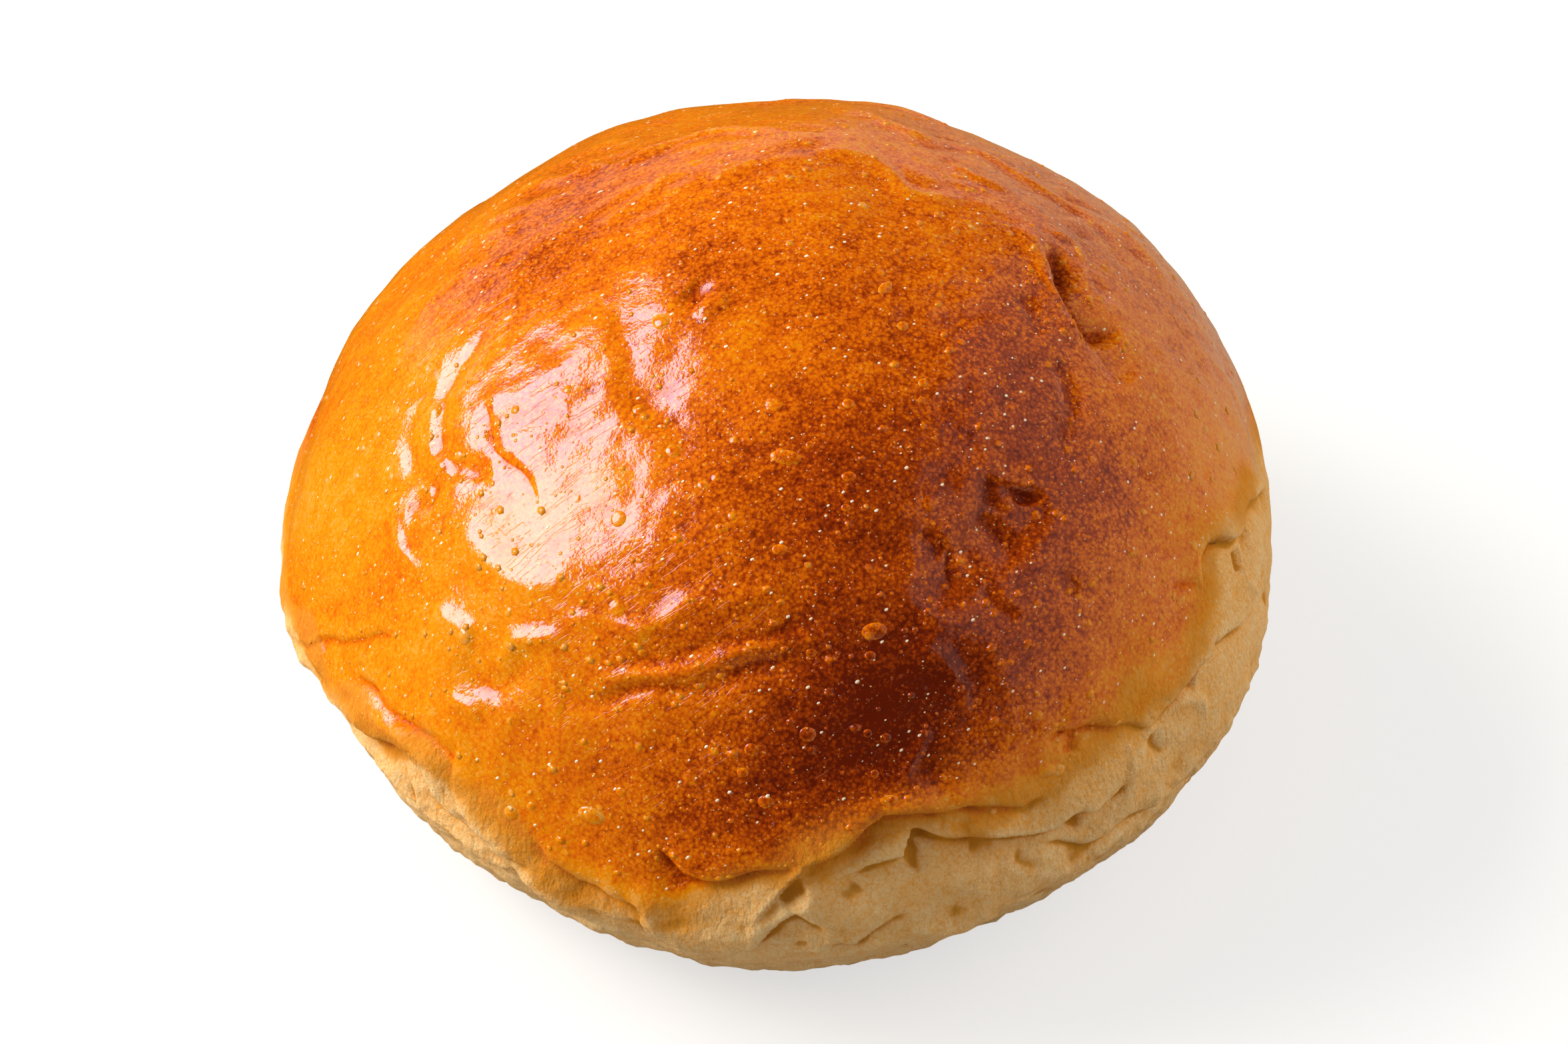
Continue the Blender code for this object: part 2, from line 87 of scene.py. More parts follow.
# Slow swells of the whole crust: (height, wavelength) in millimetres
SWELLS = ((0.22, 34.0), (0.10, 17.0), (0.035, 8.0))
SWELL_WAVES = 26
SWELL_SEED = 11
WAVE_STRETCH = (0.75, 1.35)

# How far the folds stray from their paths, in millimetres
WANDER = 0.45
WANDER_LENGTH = 10.0
WANDER_SEED = 23

# Small lumps of the base, written as the swells are, and the heights over which they end
BASE_LUMPS = ((0.12, 5.0), (0.07, 2.0))
LUMP_SEED = 67
LUMP_HEIGHT = 0.026
LUMP_FADE = 0.008

# Wavelengths in millimetres of the finest wrinkles and of the ripples of the crown
WRINKLE_LENGTH = 3.0
WRINKLE_SEED = 71
RIPPLE_LENGTH = 4.0
RIPPLE_SEED = 73

# All relief fades out below this height, so that the foot stays flat
CALM_HEIGHT = 0.0012

# Cross-section of a fold, in half widths, and the power by which its ends fade
FOLD_MARGIN = 3.0
CREASE_ROUNDING = 0.25
CREASE_DECAY = 1.25
STEP_SHARPNESS = 3.5
END_FADE = 4

# Hollows are painted darker as shade, and ridges lighter as a painted highlight, by their depth in metres,
# and less so below a height
HOLLOW_ROUNDS = 22
HOLLOW_DEPTH = 0.00026
HOLLOW_FADE = 0.016
HOLLOW_LOW = 0.30

# The mesh is finer on the sides that face the viewer, down to a latitude in degrees,
# and finest in bands of some millimetres along the creases
FRONT_AZIMUTH = -90.0
FRONT_SHARE = 0.72
TOP_SHARE = 0.70
LEAST_FACING = 0.02
LOWEST_FINE = -32.0
BAND_MARGIN = 3.0
BAND_WIDTH = 0.7
BAND_SPREAD = 0.6
WIDEST_CREASE = 1.5

# Azimuth 0 points along +X, -90 to the front; latitude 0 is the waist and 90 the top.
# A fold is (height, half width, swell of its upper side, swell of its lower side, reach)
# in millimetres, then its path as (azimuth, latitude) in degrees. Upper is the side on
# the left of the path, seen from outside. A path of one point is a round bump or dent.
# A fold without swells is written as (height, half width, path).
PLAIN_REACH = 3.0
CROWN_LIP = (
    (-0.7, 0.45, 0.7, -0.9, 3.5, (
        (-162, 1), (-156, 2), (-151, 2), (-142, 4), (-134, 7), (-131, 6), (-124, 3), (-119, 1),
    )),
    (-0.7, 0.45, 0.7, -0.9, 3.5, (
        (-121, 2), (-117, -1), (-115, -6), (-113, -10), (-110, -14), (-107, -20), (-101, -21),
    )),
    (-0.9, 0.5, 0.4, -0.4, 3.0, (
        (-117, 8), (-115, 4), (-112, 2), (-110, 3), (-106, 2), (-104, 1), (-102, -6), (-100, -12),
    )),
    (-1.0, 0.6, 0.5, -0.5, 3.0, ((-104, 11), (-100, 9), (-96, 9), (-94, 10), (-91, 11), (-90, 12))),
    (-0.9, 0.4, 0.9, -1.3, 3.5, (
        (-89, 12), (-87, 13), (-84, 14), (-82, 15), (-80, 16), (-76, 16), (-73, 16),
    )),
    (-0.8, 0.5, 0.5, -0.5, 2.5, ((-75, 16), (-71, 16.5), (-67, 15.5), (-64, 14), (-61, 14))),
    (-0.9, 0.4, 0.6, -1.0, 3.5, (
        (-85, 10), (-81, 10.5), (-78, 11), (-76.5, 13.5), (-74, 13), (-70, 12), (-65, 10.5),
        (-59, 8), (-53, 8), (-49, 7),
    )),
    (-0.6, 0.8, 0.3, -0.3, 3.5, ((-52, 3), (-46, 1), (-40, -1), (-34, -2))),
)

FRONT_BASE_FOLDS = (
    (0.7, 0.6, 0.0, -0.8, 2.5, ((-93, 2), (-92, 4), (-91, 6), (-90, 9), (-89, 11), (-87, 13))),
    (-0.8, 0.4, 0.6, -0.9, 3.0, (
        (-106, -17), (-100, -16), (-96, -14), (-93, -4), (-90, 1), (-88, 3), (-85, 2),
    )),
    (-0.7, 0.5, 0.4, -0.3, 3.0, ((-107, 3), (-105, 2), (-103, -8), (-101, -13))),
    (-0.5, 0.6, 0.3, -0.3, 3.0, ((-86, 0), (-82, -3), (-80, 1), (-77, 3))),
    (-0.8, 1.3, ((-90.5, 4.5), (-89, 6.5), (-87.5, 8))),
    (-0.6, 1.2, ((-84, 7), (-82.5, 8.5))),
    (-0.8, 1.0, ((-77, 9.5), (-76, 12))),
    (-0.7, 0.9, ((-74, 15), (-72, 14), (-70, 13.5))),
    (-0.6, 0.9, ((-85, 12), (-82, 13), (-79, 14))),
    (-0.7, 0.9, ((-70, 10.5), (-67, 9.5))),
    (-0.9, 0.9, ((-57, 7.5), (-56, 6))),
    (-0.7, 1.0, ((-54.5, 8.5), (-52, 7.5), (-50, 7))),
    (0.5, 0.9, ((-85, 11.5), (-83, 11.5), (-80, 12), (-78, 13))),
    (0.4, 0.8, ((-87, 12), (-86.5, 9), (-87, 6), (-86, 4))),
    (-0.5, 0.6, 0.3, -0.4, 2.5, ((-61, 6), (-57, 4), (-52, 2.5), (-47, 1))),
    (0.5, 1.8, ((-84, -7), (-76, -5), (-66, -4))),
    (-0.4, 0.6, ((-64, 8), (-64, 5), (-62, 2))),
    (0.4, 1.4, ((-73, 8), (-70, 6), (-67, 6))),
)

RIGHT_EDGE_FOLDS = (
    (-0.9, 0.6, 0.3, -0.4, 3.0, (
        (-60, 21), (-58, 22), (-56, 21), (-53, 19.5), (-51, 18), (-49, 17), (-45, 14),
    )),
    (-0.6, 0.8, ((-56, 20.5), (-57, 18))),
    (-0.9, 0.9, 0.2, -0.2, 3.0, ((-44.5, 13), (-44, 10), (-43, 7))),
    (-0.9, 1.0, ((-38, 15.5), (-36.5, 13.5))),
    (-0.9, 0.9, ((-33.5, 15.5), (-32, 14))),
    (-0.9, 0.45, 0.6, -0.7, 3.5, (
        (-45, 14), (-42, 15), (-38, 15), (-32, 15), (-28, 14), (-24, 13.5), (-17, 12), (-9, 11),
    )),
    (0.5, 0.8, ((-42, 15), (-39, 13), (-36, 10), (-35, 7))),
    (0.6, 1.8, ((-51, 11), (-46, 9))),
    (0.4, 0.5, ((-49, 12.4), (-46, 10.8), (-44, 8), (-46, 6.5))),
    (-0.5, 0.45, 0.3, -0.3, 2.5, ((-60, 9), (-56, 8.8), (-54, 6.8))),
    (0.4, 0.8, ((-60, 17.5), (-60, 16))),
    (0.3, 0.6, ((-78, 20), (-76, 24.4), (-73, 28))),
    (0.3, 0.8, ((-73, 36.8), (-72, 34.4), (-70, 32.4))),
    (-0.8, 0.45, 0.6, -0.7, 3.5, (
        (-32, 21), (-31, 23), (-28, 25), (-25, 25), (-21, 23), (-18, 22), (-11, 20), (-3, 15),
    )),
    (-0.5, 0.9, ((-37, 28), (-34, 26), (-31, 24))),
    (-0.8, 1.0, ((-20, 21.5), (-21, 19))),
    (-0.5, 1.0, ((-14, 19), (-18, 20))),
    (0.4, 0.6, ((-21, 18), (-20, 15), (-20, 12))),
    (-0.6, 0.8, 0.3, -0.3, 3.0, ((-27, 4), (-18, 6), (-10, 6), (0, 8))),
)

LEFT_EDGE_FOLDS = (
    (-0.35, 0.4, 0.2, -0.15, 2.5, (
        (-166, -1), (-161, 3), (-158, 7), (-154, 10), (-151, 14), (-148, 17), (-144, 19),
    )),
    (-0.4, 0.8, ((-158, 6), (-157, 8))),
    (-0.8, 0.6, 0.4, 0.1, 3.0, (
        (-154, 9), (-150, 8.5), (-145, 10), (-140, 11), (-135, 12), (-130, 12), (-128, 9),
        (-126, 6),
    )),
    (-0.6, 0.5, 0.4, -0.3, 3.0, ((-127, 6), (-125, 5), (-121, 3.5), (-117, 3))),
    (0.6, 1.3, ((-148, 6), (-142, 8), (-137, 9), (-132, 9), (-129, 7))),
    (-0.4, 0.5, 0.2, -0.2, 2.0, ((-139, 4), (-136, 2), (-133, -1), (-129, -5))),
    (-0.4, 0.6, 0.2, -0.2, 2.0, ((-125, -7), (-121, -8), (-118, -12), (-114, -16))),
    (0.4, 1.2, ((-144, -3), (-138, -6), (-132, -9))),
)

CROWN_DENTS = (
    (-1.3, 1.1, ((6, 60), (-1, 60), (-6, 60), (-10, 58), (-12, 55.5), (-11, 54), (-9, 51))),
    (-0.8, 1.7, ((4, 58.5), (-4, 58), (-10, 55), (-14, 52), (-16, 47))),
    (0.6, 0.6, ((12, 59.5), (14, 58), (15, 56.5), (12, 56), (6, 56))),
    (0.5, 1.5, ((14, 63), (2, 63), (-10, 61), (-17, 56))),
    (-0.5, 0.45, ((5, 64.5), (1, 64), (-3, 63), (-6, 62))),
    (-0.4, 0.45, ((15, 61.5), (10, 61))),
    (-0.3, 0.35, 0.1, -0.1, 2.0, ((0, 65), (-7, 63.5), (-11, 61), (-14, 58))),
    (-0.5, 0.9, ((-13, 66), (-16, 64), (-19, 62), (-21, 60))),
    (-0.6, 1.2, ((-24, 57), (-28, 55), (-32, 54), (-36, 52), (-40, 49))),
    (-0.8, 1.5, ((-51, 50.5), (-51.5, 48.5))),
    (-0.55, 1.1, ((-56, 52), (-57, 50), (-58, 48.5))),
    (-0.5, 1.2, ((-61, 49), (-59, 47), (-57, 45), (-56, 43.5))),
    (-0.5, 1.2, ((-71, 50.5), (-70, 49), (-68, 46.5))),
    (-0.35, 0.45, 0.1, -0.1, 2.0, ((-66, 47), (-68, 44.5), (-68, 42))),
    (-0.45, 0.8, ((-63, 41.5), (-62, 39), (-60, 36.5))),
    (-0.45, 1.0, ((-52, 39.5), (-52, 35))),
    (-0.4, 1.2, ((-52, 36), (-47, 34))),
    (-0.8, 2.6, ((-48, 48), (-56, 47), (-60, 46), (-64, 45), (-68, 43.5), (-73, 41))),
    (0.0, 4.0, 0.25, -0.25, 6.0, ((-117, 54), (-125, 58), (-139, 62), (-158, 64), (-166, 63))),
    (-0.6, 1.8, ((-150, 73.5), (-140, 74.5))),
    (0.5, 1.4, ((-136, 72), (-128, 76))),
    (-0.4, 0.4, 0.15, -0.1, 2.5, ((-158, 47.5), (-152, 46), (-148, 46), (-141, 45), (-134, 43.5))),
    (-0.6, 1.4, ((-156, 37), (-153, 40), (-147, 44))),
    (-0.6, 1.3, ((-174, 50), (-166, 43), (-161, 41), (-157, 37))),
    (-0.6, 1.1, ((-156, 37), (-153, 34), (-154, 31))),
    (-0.5, 1.6, ((-172, 41), (-164, 36), (-157, 34), (-153, 34))),
    (0.45, 1.2, ((-158, 30.5), (-151, 27.5), (-146, 26.5))),
    (0.45, 1.2, ((-141, 25.5), (-135, 26))),
    (0.45, 1.2, ((-130, 27.5), (-120, 31.5))),
    (0.3, 1.7, ((-148, 35), (-140, 35), (-130, 36.5), (-122, 39), (-112, 43))),
    (-0.5, 1.5, ((-136, 22), (-128, 24), (-121, 27))),
    (0.45, 1.2, ((-122, 33.5), (-113, 37), (-107, 40), (-99, 43.5), (-92, 45))),
    (0.35, 1.0, ((-133, 18), (-128, 19.5))),
    (0.35, 1.0, ((-125, 20.5), (-118, 24.5))),
    (0.5, 1.1, ((-116, 29), (-107, 32), (-102, 35), (-98, 36.8), (-91, 37.6))),
    (-0.4, 1.1, ((-117, 31), (-106, 35), (-100, 37.6), (-94, 39.5), (-87, 41))),
    (-0.5, 1.2, ((-121, 25.5), (-111, 29), (-106, 30.8), (-100, 33.6), (-92, 35.6), (-84, 37))),
)

CROWN_RIDGES = (
    (0.35, 1.0, ((166, 28), (157, 34), (154, 43), (152, 50), (152, 57))),
    (0.35, 1.0, ((170, 33), (161, 38), (158, 45), (159, 52))),
    (0.3, 0.9, ((174, 39), (168, 46), (167, 54))),
    (0.6, 1.0, ((144, 44), (143, 54), (137, 60), (124, 64), (110, 66), (97, 70))),
    (0.4, 1.0, ((167, 65), (152, 69), (138, 70))),
    (0.4, 1.0, ((152, 76), (133, 78), (115, 78))),
    (0.5, 1.2, ((86, 57), (74, 62), (62, 62), (52, 58), (40, 55), (29, 48), (17, 44))),
    (0.4, 1.2, ((88, 76), (60, 77), (36, 77), (20, 72))),
    (0.4, 1.0, ((47, 67), (36, 66), (28, 62))),
    (0.5, 1.6, ((34, 49), (25, 42), (16, 38))),
)

# The lip and its folds carry on round the hidden back
BACK_FOLDS = (
    (-1.0, 1.0, 0.5, -0.6, 5.0, ((6, 9), (20, 6), (33, 9), (46, 5), (58, 7))),
    (-1.1, 1.0, 0.5, -0.7, 5.0, ((52, 3), (66, 6), (81, 3), (96, 7), (108, 6))),
    (-1.0, 1.0, 0.5, -0.6, 5.0, ((101, 2), (116, 5), (131, 2), (146, 4), (158, 0))),
    (-0.9, 1.0, 0.4, -0.5, 4.0, ((150, -2), (165, 1), (180, -3), (194, -5))),
    (-0.6, 1.1, 0.3, -0.3, 3.0, ((18, 15), (28, 17), (40, 15), (52, 17))),
    (-0.6, 1.1, 0.3, -0.3, 3.0, ((84, 14), (96, 17), (110, 15), (122, 16))),
    (0.6, 1.2, 0.0, -0.4, 3.0, ((24, -4), (36, -1), (48, -3), (62, -1))),
    (0.6, 1.2, 0.0, -0.4, 3.0, ((92, -3), (106, 0), (122, -4), (138, -2))),
    (-0.8, 1.5, ((70, 38), (76, 35), (84, 34))),
    (-0.6, 1.3, ((118, 30), (128, 27), (140, 29))),
    (-0.7, 1.4, ((30, 30), (40, 27), (50, 29))),
    (0.4, 1.2, ((60, 50), (74, 46), (90, 48), (106, 45))),
)

# Slow bulges and flats of the outline
OUTLINE_SWELLS = (
    (-0.9, 9.0, ((35, 48),)),
    (-0.4, 9.0, ((64, 54),)),
    (0.6, 8.0, ((115, 43),)),
    (-1.0, 8.0, ((154, 34),)),
    (0.5, 8.0, ((-147, 1),)),
    (-0.8, 7.0, ((-64, -21),)),
    (-0.5, 9.0, ((-38, 1),)),
    (-0.5, 8.0, ((-14, 8),)),
)

FINE_FOLDS = CROWN_LIP + FRONT_BASE_FOLDS + RIGHT_EDGE_FOLDS + LEFT_EDGE_FOLDS + CROWN_DENTS
ALL_FOLDS = FINE_FOLDS + CROWN_RIDGES + BACK_FOLDS + OUTLINE_SWELLS

# Where the browning ends round the bun: (azimuth, latitude, softness) in degrees
BROWN_RIM = (
    (-180, 2, 6), (-165, 1, 6), (-156, 2, 5), (-148, 3, 5), (-140, 6, 5), (-134, 8, 5),
    (-127, 6, 5), (-120, 4, 8), (-117, 2.5, 10), (-114, 1.5, 12), (-110, 0, 13), (-106, 0, 13),
    (-102, 2, 13), (-97, 6, 14), (-92, 9.5, 12), (-84, 13.5, 14), (-76, 15.5, 17), (-66, 14, 19),
    (-56, 15.5, 17), (-46, 19, 16), (-40, 17, 19), (-36, 19, 17), (-30, 22, 14), (-25, 24, 11),
    (-18, 22, 9), (-11, 20, 8), (-3, 15, 8), (8, 12, 9), (40, 10, 12), (90, 9, 12),
    (140, 6, 10), (180, 2, 6),
)

# The rim wavers by some degrees, its lower half is steeper and the glaze ends above it.
# Wavelengths are in millimetres.
RIM_SEED = 41
RIM_WOBBLE = 1.5
BAKE_WOBBLE_LENGTH = 13.0
GLAZE_WOBBLE_LENGTH = 9.0
GLAZE_RISE = 4.0
FALL_SHARE = 0.7
RIM_MOTTLE = 0.4
MOTTLE_LENGTH = 3.5

# The way in which the glaze was brushed on
BRUSH_DIRECTION = (0.80, 0.28, 0.53)

# How baked the base is, and how much more so above a latitude, over a span of degrees
BASE_BAKE = 0.09
BASE_BROWNING = 0.10
BROWNING_LATITUDE = -20.0
BROWNING_SPAN = 40.0

# How baked the crown is, and its patches: (azimuth, latitude, reach in degrees, strength)
CROWN_BAKE = 0.56
CROWN_CLOUDS = 0.03
CLOUD_LENGTH = 20.0
BROWN_PATCHES = (
    (-82, 30, 10.5, 0.30), (-40, 46, 10, 0.05), (-86, 21, 9, 0.12), (-70, 50, 24, 0.15),
    (-60, 38, 14, 0.08), (-45, 60, 16, 0.12), (-28, 30, 22, -0.07), (0, 30, 26, -0.08),
    (-130, 22, 28, -0.05), (-168, 32, 34, -0.10), (-168, 12, 12, -0.07), (-142, 6, 14, -0.05),
    (114, 78, 20, -0.04), (163, 66, 20, 0.10), (10, 45, 26, 0.08), (-25, 44, 12, 0.03),
    (-122, -2, 12, -0.12), (-108, -10, 9, -0.10), (-8, 57, 7, 0.05), (-98, 52, 14, 0.05),
    (-97, 20, 9, 0.10), (-72, 29, 7, 0.10), (-64, 34, 8, 0.05), (-104, 28, 9, 0.05),
)

# Bubbles in the material: the smallest as a share of the largest, how softly they are
# picked, and how flat those under the glaze are on top
SMALLEST_BUBBLE = 0.3
PICK_SOFTNESS = 0.08
FLAT_TOP = 2.2

# The crust's masks, and the sockets of its material that read them
MASKS = {"bake": "Bake", "glaze": "Cover", "hollow": "Hollow", "blister": "Blister"}

# Bubbles and blisters are the caps of stretched balls
DOME_CUT = 0.45
DOME_RISE = 0.45
DOME_EDGE_FADE = 0.8

# Blisters stand where the crust is baked enough, and the largest are the rarest
BLISTER_BAKE = 0.36
BLISTER_RISE = 0.2
BLISTER_STRETCH = 1.5
BLISTER_RARITY = 3
BLISTER_EDGE = 0.5

# Large bubbles: (azimuth, latitude, half width in millimetres, stretch, turn in degrees)
LARGE_BUBBLES = (
    (-113, 13, 0.9, 1.7, 20), (-122, 9, 0.8, 1.1, 0), (-110, 17, 0.5, 1.2, 60), (-120, 11, 0.5, 1.0, 0),
    (-90, 28, 0.8, 1.1, 90), (-97, 23, 0.5, 1.2, 40), (-94, 20, 0.7, 1.2, 100), (-83, 28, 0.45, 1.0, 0),
    (-81, 27, 0.5, 1.2, 90), (-82, 23, 0.45, 1.0, 0), (-81, 20, 0.5, 1.9, 50), (-133, 59, 0.7, 1.1, 0),
    (-120, 57, 0.8, 1.2, 30), (-147, 68, 0.9, 1.2, 0), (5, 75, 0.5, 1.1, 0), (-62, 67, 0.5, 1.1, 50),
    (-52, 79, 0.6, 1.8, 10), (-57, 74, 0.6, 1.1, 0), (-84, 66, 0.6, 1.1, 90), (-64, 65, 0.4, 1.1, 0),
    (11, 57, 0.8, 1.5, 120), (-50, 14, 0.5, 1.1, 0), (-60, 17, 0.6, 1.2, 60), (-36, 26, 0.3, 2.3, 80),
    (-97, 60, 0.8, 2.0, 55), (-93, 61, 0.4, 1.1, 0), (-85, 54, 0.4, 1.2, 80), (-112, 54, 0.5, 1.2, 20),
    (-96, 26, 0.7, 1.1, 0), (-98, 38, 0.45, 1.5, 90), (-90, 37.6, 0.45, 1.3, 90), (-96, 49, 0.6, 1.4, 90),
    (-106, 50, 0.45, 1.5, 90), (-84, 57.6, 0.55, 1.4, 90), (-82, 40, 0.9, 1.5, 90), (-82, 37, 0.5, 1.2, 0),
    (-112, 34.4, 0.4, 1.3, 0),
)

# Lights: azimuth and elevation in degrees, distance, width and height in metres, colour,
# and whether the glaze mirrors them
LIGHTS = {
    "window": (169.0, 37.0, 1.5, 0.97, 0.80, (1.0, 0.92, 1.18), True),
    "panel": (5.0, 0.0, 0.62, 1.36, 2.28, (1.0, 0.92, 0.86), True),
    "fill": (12.0, 24.0, 1.2, 1.2, 0.9, (1.0, 0.98, 0.94), False),
    "bounce": (-152.0, 8.0, 1.2, 1.2, 0.7, (1.0, 0.97, 0.90), False),
    "glow": (164.0, 36.5, 1.5, 1.6, 0.74, (1.0, 0.97, 0.55), False),
    "backdrop": (95.0, 2.0, 1.6, 3.2, 0.7, (1.0, 0.84, 0.86), True),
}
LIGHT_AIM = (0.0, 0.0, 0.03)
CAMERA_AIM = (0.00087, -0.00086, 0.02406)
SENSOR_WIDTH = 36.0
NEAREST_SEEN = 0.01
FLOOR_REACH = 3.0
FLOOR_TURN = 0.07
WHITE = (1.0, 1.0, 1.0, 1.0)
MIRRORED_AIR = (1.0, 0.7, 0.35, 1.0)
MIRRORED_DIMMING = 0.92

# What all colours and all fine sizes of the settings share
COLOUR = {"size": 3, "subtype": "COLOR"}
FINE_SIZE = {"unit": "LENGTH", "precision": 6}


class BunShape(bpy.types.PropertyGroup):
    """Sizes of the crust's surface."""

    squares: bpy.props.IntProperty(
        name="Squares", description="Squares along each side of the first cube", default=64, min=16
    )
    swell: bpy.props.FloatProperty(
        name="Swell", description="How strong the slow swells of the crust are", default=1.0
    )
    fold_depth: bpy.props.FloatProperty(
        name="Fold depth", description="How deep the folds and creases are", default=1.0
    )
    ripple_height: bpy.props.FloatProperty(
        name="Ripple height", description="Height of the ripples of the crown", default=0.00003, **FINE_SIZE
    )
    wrinkle_height: bpy.props.FloatProperty(
        name="Wrinkle height", description="Height of the finest wrinkles", default=0.000015, **FINE_SIZE
    )


class BunColours(bpy.types.PropertyGroup):
    """Colours of the dough from pale base to darkest crust, and the painted shade and painted highlights
    laid over it.
    """

    pale: bpy.props.FloatVectorProperty(
        name="Pale", description="The base, hardly browned", default=(0.74, 0.50, 0.235), **COLOUR
    )
    tan: bpy.props.FloatVectorProperty(
        name="Tan", description="First browning above the base", default=(0.72, 0.325, 0.065), **COLOUR
    )
    golden: bpy.props.FloatVectorProperty(
        name="Golden", description="Golden crust", default=(0.73, 0.245, 0.001), **COLOUR
    )
    orange: bpy.props.FloatVectorProperty(
        name="Orange", description="Well baked crust", default=(0.67, 0.13, 0.0008), **COLOUR
    )
    brown: bpy.props.FloatVectorProperty(
        name="Brown", description="Strongly baked crust", default=(0.33, 0.040, 0.0008), **COLOUR
    )
    # Painted highlight: bright points laid on the tiniest bubbles of the glaze
    painted_glint: bpy.props.FloatVectorProperty(
        name="Glint", description="Tiny bubbles in the glaze", default=(0.95, 0.66, 0.30), **COLOUR
    )
    # Painted shade in folds and hollows; the base's pores take the same colour
    crease_shade_and_pores: bpy.props.FloatVectorProperty(
        name="Pocket", description="Dough inside folds and hollows", default=(0.48, 0.19, 0.012), **COLOUR
    )
    # Painted highlight: the brightest points of the glaze
    painted_sparkle: bpy.props.FloatVectorProperty(
        name="Sparkle", description="The brightest points of the glaze", default=(1.0, 0.84, 0.60), **COLOUR
    )
    dry: bpy.props.FloatVectorProperty(
        name="Dry", description="Browned dough without glaze", default=(0.50, 0.20, 0.03), **COLOUR
    )
    dark: bpy.props.FloatVectorProperty(
        name="Dark", description="The darkest patch", default=(0.13, 0.010, 0.0008), **COLOUR
    )


class BlisterSizes(bpy.types.PropertyGroup):
    """The small bubbles under the glaze."""

    count: bpy.props.IntProperty(name="Count", description="Number of raised blisters", default=1300, min=1)
    smallest: bpy.props.FloatProperty(
        name="Smallest", description="Smallest blister radius", default=0.00012, **FINE_SIZE
    )
    largest: bpy.props.FloatProperty(
        name="Largest", description="Largest blister radius", default=0.00055, **FINE_SIZE
    )
    seed: bpy.props.IntProperty(name="Seed", description="Which scatter of blisters", default=5)


class StudioLook(bpy.types.PropertyGroup):
    """Lights, floor and camera."""

    window_light: bpy.props.FloatProperty(
        name="Window light", description="Brightness of the large soft light on the left", default=6.6
    )
    panel_light: bpy.props.FloatProperty(
        name="Panel light", description="Brightness of the dim panel on the right", default=0.27
    )
    fill_light: bpy.props.FloatProperty(
        name="Fill light", description="Brightness of the soft fill on the right", default=2.2
    )
    bounce_light: bpy.props.FloatProperty(
        name="Bounce light", description="Brightness of the light thrown back on the left", default=1.4
    )
    glow_light: bpy.props.FloatProperty(
        name="Glow light", description="Brightness that the window adds without a reflection", default=5.7
    )
    backdrop_light: bpy.props.FloatProperty(
        name="Backdrop light", description="Brightness of the pale backdrop behind the bun", default=0.42
    )
    sky_light: bpy.props.FloatProperty(
        name="Sky light", description="Brightness of the room all round", default=0.28
    )
    floor_colour: bpy.props.FloatVectorProperty(
        name="Floor", description="Colour of the floor", default=(0.40, 0.40, 0.40), **COLOUR
    )
    mirrored_left: bpy.props.FloatVectorProperty(
        name="Mirror, left", description="Mirrored floor on the left", default=(0.42, 0.15, 0.008), **COLOUR
    )
    mirrored_right: bpy.props.FloatVectorProperty(
        name="Mirror, right", description="Mirrored floor on the right", default=(0.37, 0.29, 0.22), **COLOUR
    )
    floor_glow: bpy.props.FloatProperty(
        name="Floor glow", description="How much the floor is lifted towards white", default=0.62
    )
    elevation: bpy.props.FloatProperty(
        name="Elevation", description="Camera angle", default=math.radians(44.0), subtype="ANGLE"
    )
    lens: bpy.props.FloatProperty(name="Lens", description="Focal length in millimetres", default=110.0)
    distance: bpy.props.FloatProperty(
        name="Distance", description="Camera distance", default=0.48935, unit="LENGTH"
    )


def smooth_step(share):
    """Eases a share from 0 to 1 at both ends."""
    return share * share * (3.0 - 2.0 * share)


def squared_circle(angle, squareness):
    """Distance from the centre to a superellipse of half axes one, at an angle."""
    across = np.abs(np.cos(angle)) ** squareness
    along = np.abs(np.sin(angle)) ** squareness
    return (across + along) ** (-1.0 / squareness)


def crust_point(azimuth, latitude):
    """Points of the smooth bun at these azimuths and latitudes, in radians."""
    oval = OVAL_SHARE * np.cos(2.0 * (azimuth - math.radians(OVAL_AZIMUTH)))
    triangle = TRIANGLE_SHARE * np.cos(3.0 * (azimuth - math.radians(TRIANGLE_AZIMUTH)))
    radius = RADIUS * (1.0 + oval + triangle)
    up = np.maximum(latitude, 0.0)
    down = np.maximum(-latitude, 0.0)
    crown = squared_circle(up, CROWN_SQUARENESS)
    base = squared_circle(down, BASE_SQUARENESS)
    soft = np.maximum(np.cos(azimuth - math.radians(TUCK_SOFT_AZIMUTH)), 0.0)
    tuck_angle = np.radians(TUCK_ANGLE + TUCK_EXTRA * soft)
    tucked = np.minimum(down / tuck_angle, 1.0)
    narrowing = 1.0 - (1.0 - FOOT_SHARE) * np.sin(down) ** FOOT_CURVE
    narrowing *= 1.0 - TUCK_SHARE * smooth_step(tucked)
    crown_out = radius * np.cos(up) * crown
    base_out = radius * np.cos(down) * base * narrowing
    crown_height = WAIST_HEIGHT + (HEIGHT - WAIST_HEIGHT) * np.sin(up) * crown
    base_height = WAIST_HEIGHT - (WAIST_HEIGHT + BASE_DROP) * np.sin(down) * base
    out = np.where(latitude >= 0.0, crown_out, base_out)
    height = np.where(latitude >= 0.0, crown_height, np.maximum(base_height, 0.0))
    x = out * np.cos(azimuth) + LEAN_X * height / HEIGHT
    y = out * np.sin(azimuth) + LEAN_Y * height / HEIGHT
    return np.stack([x, y, height], axis=-1)


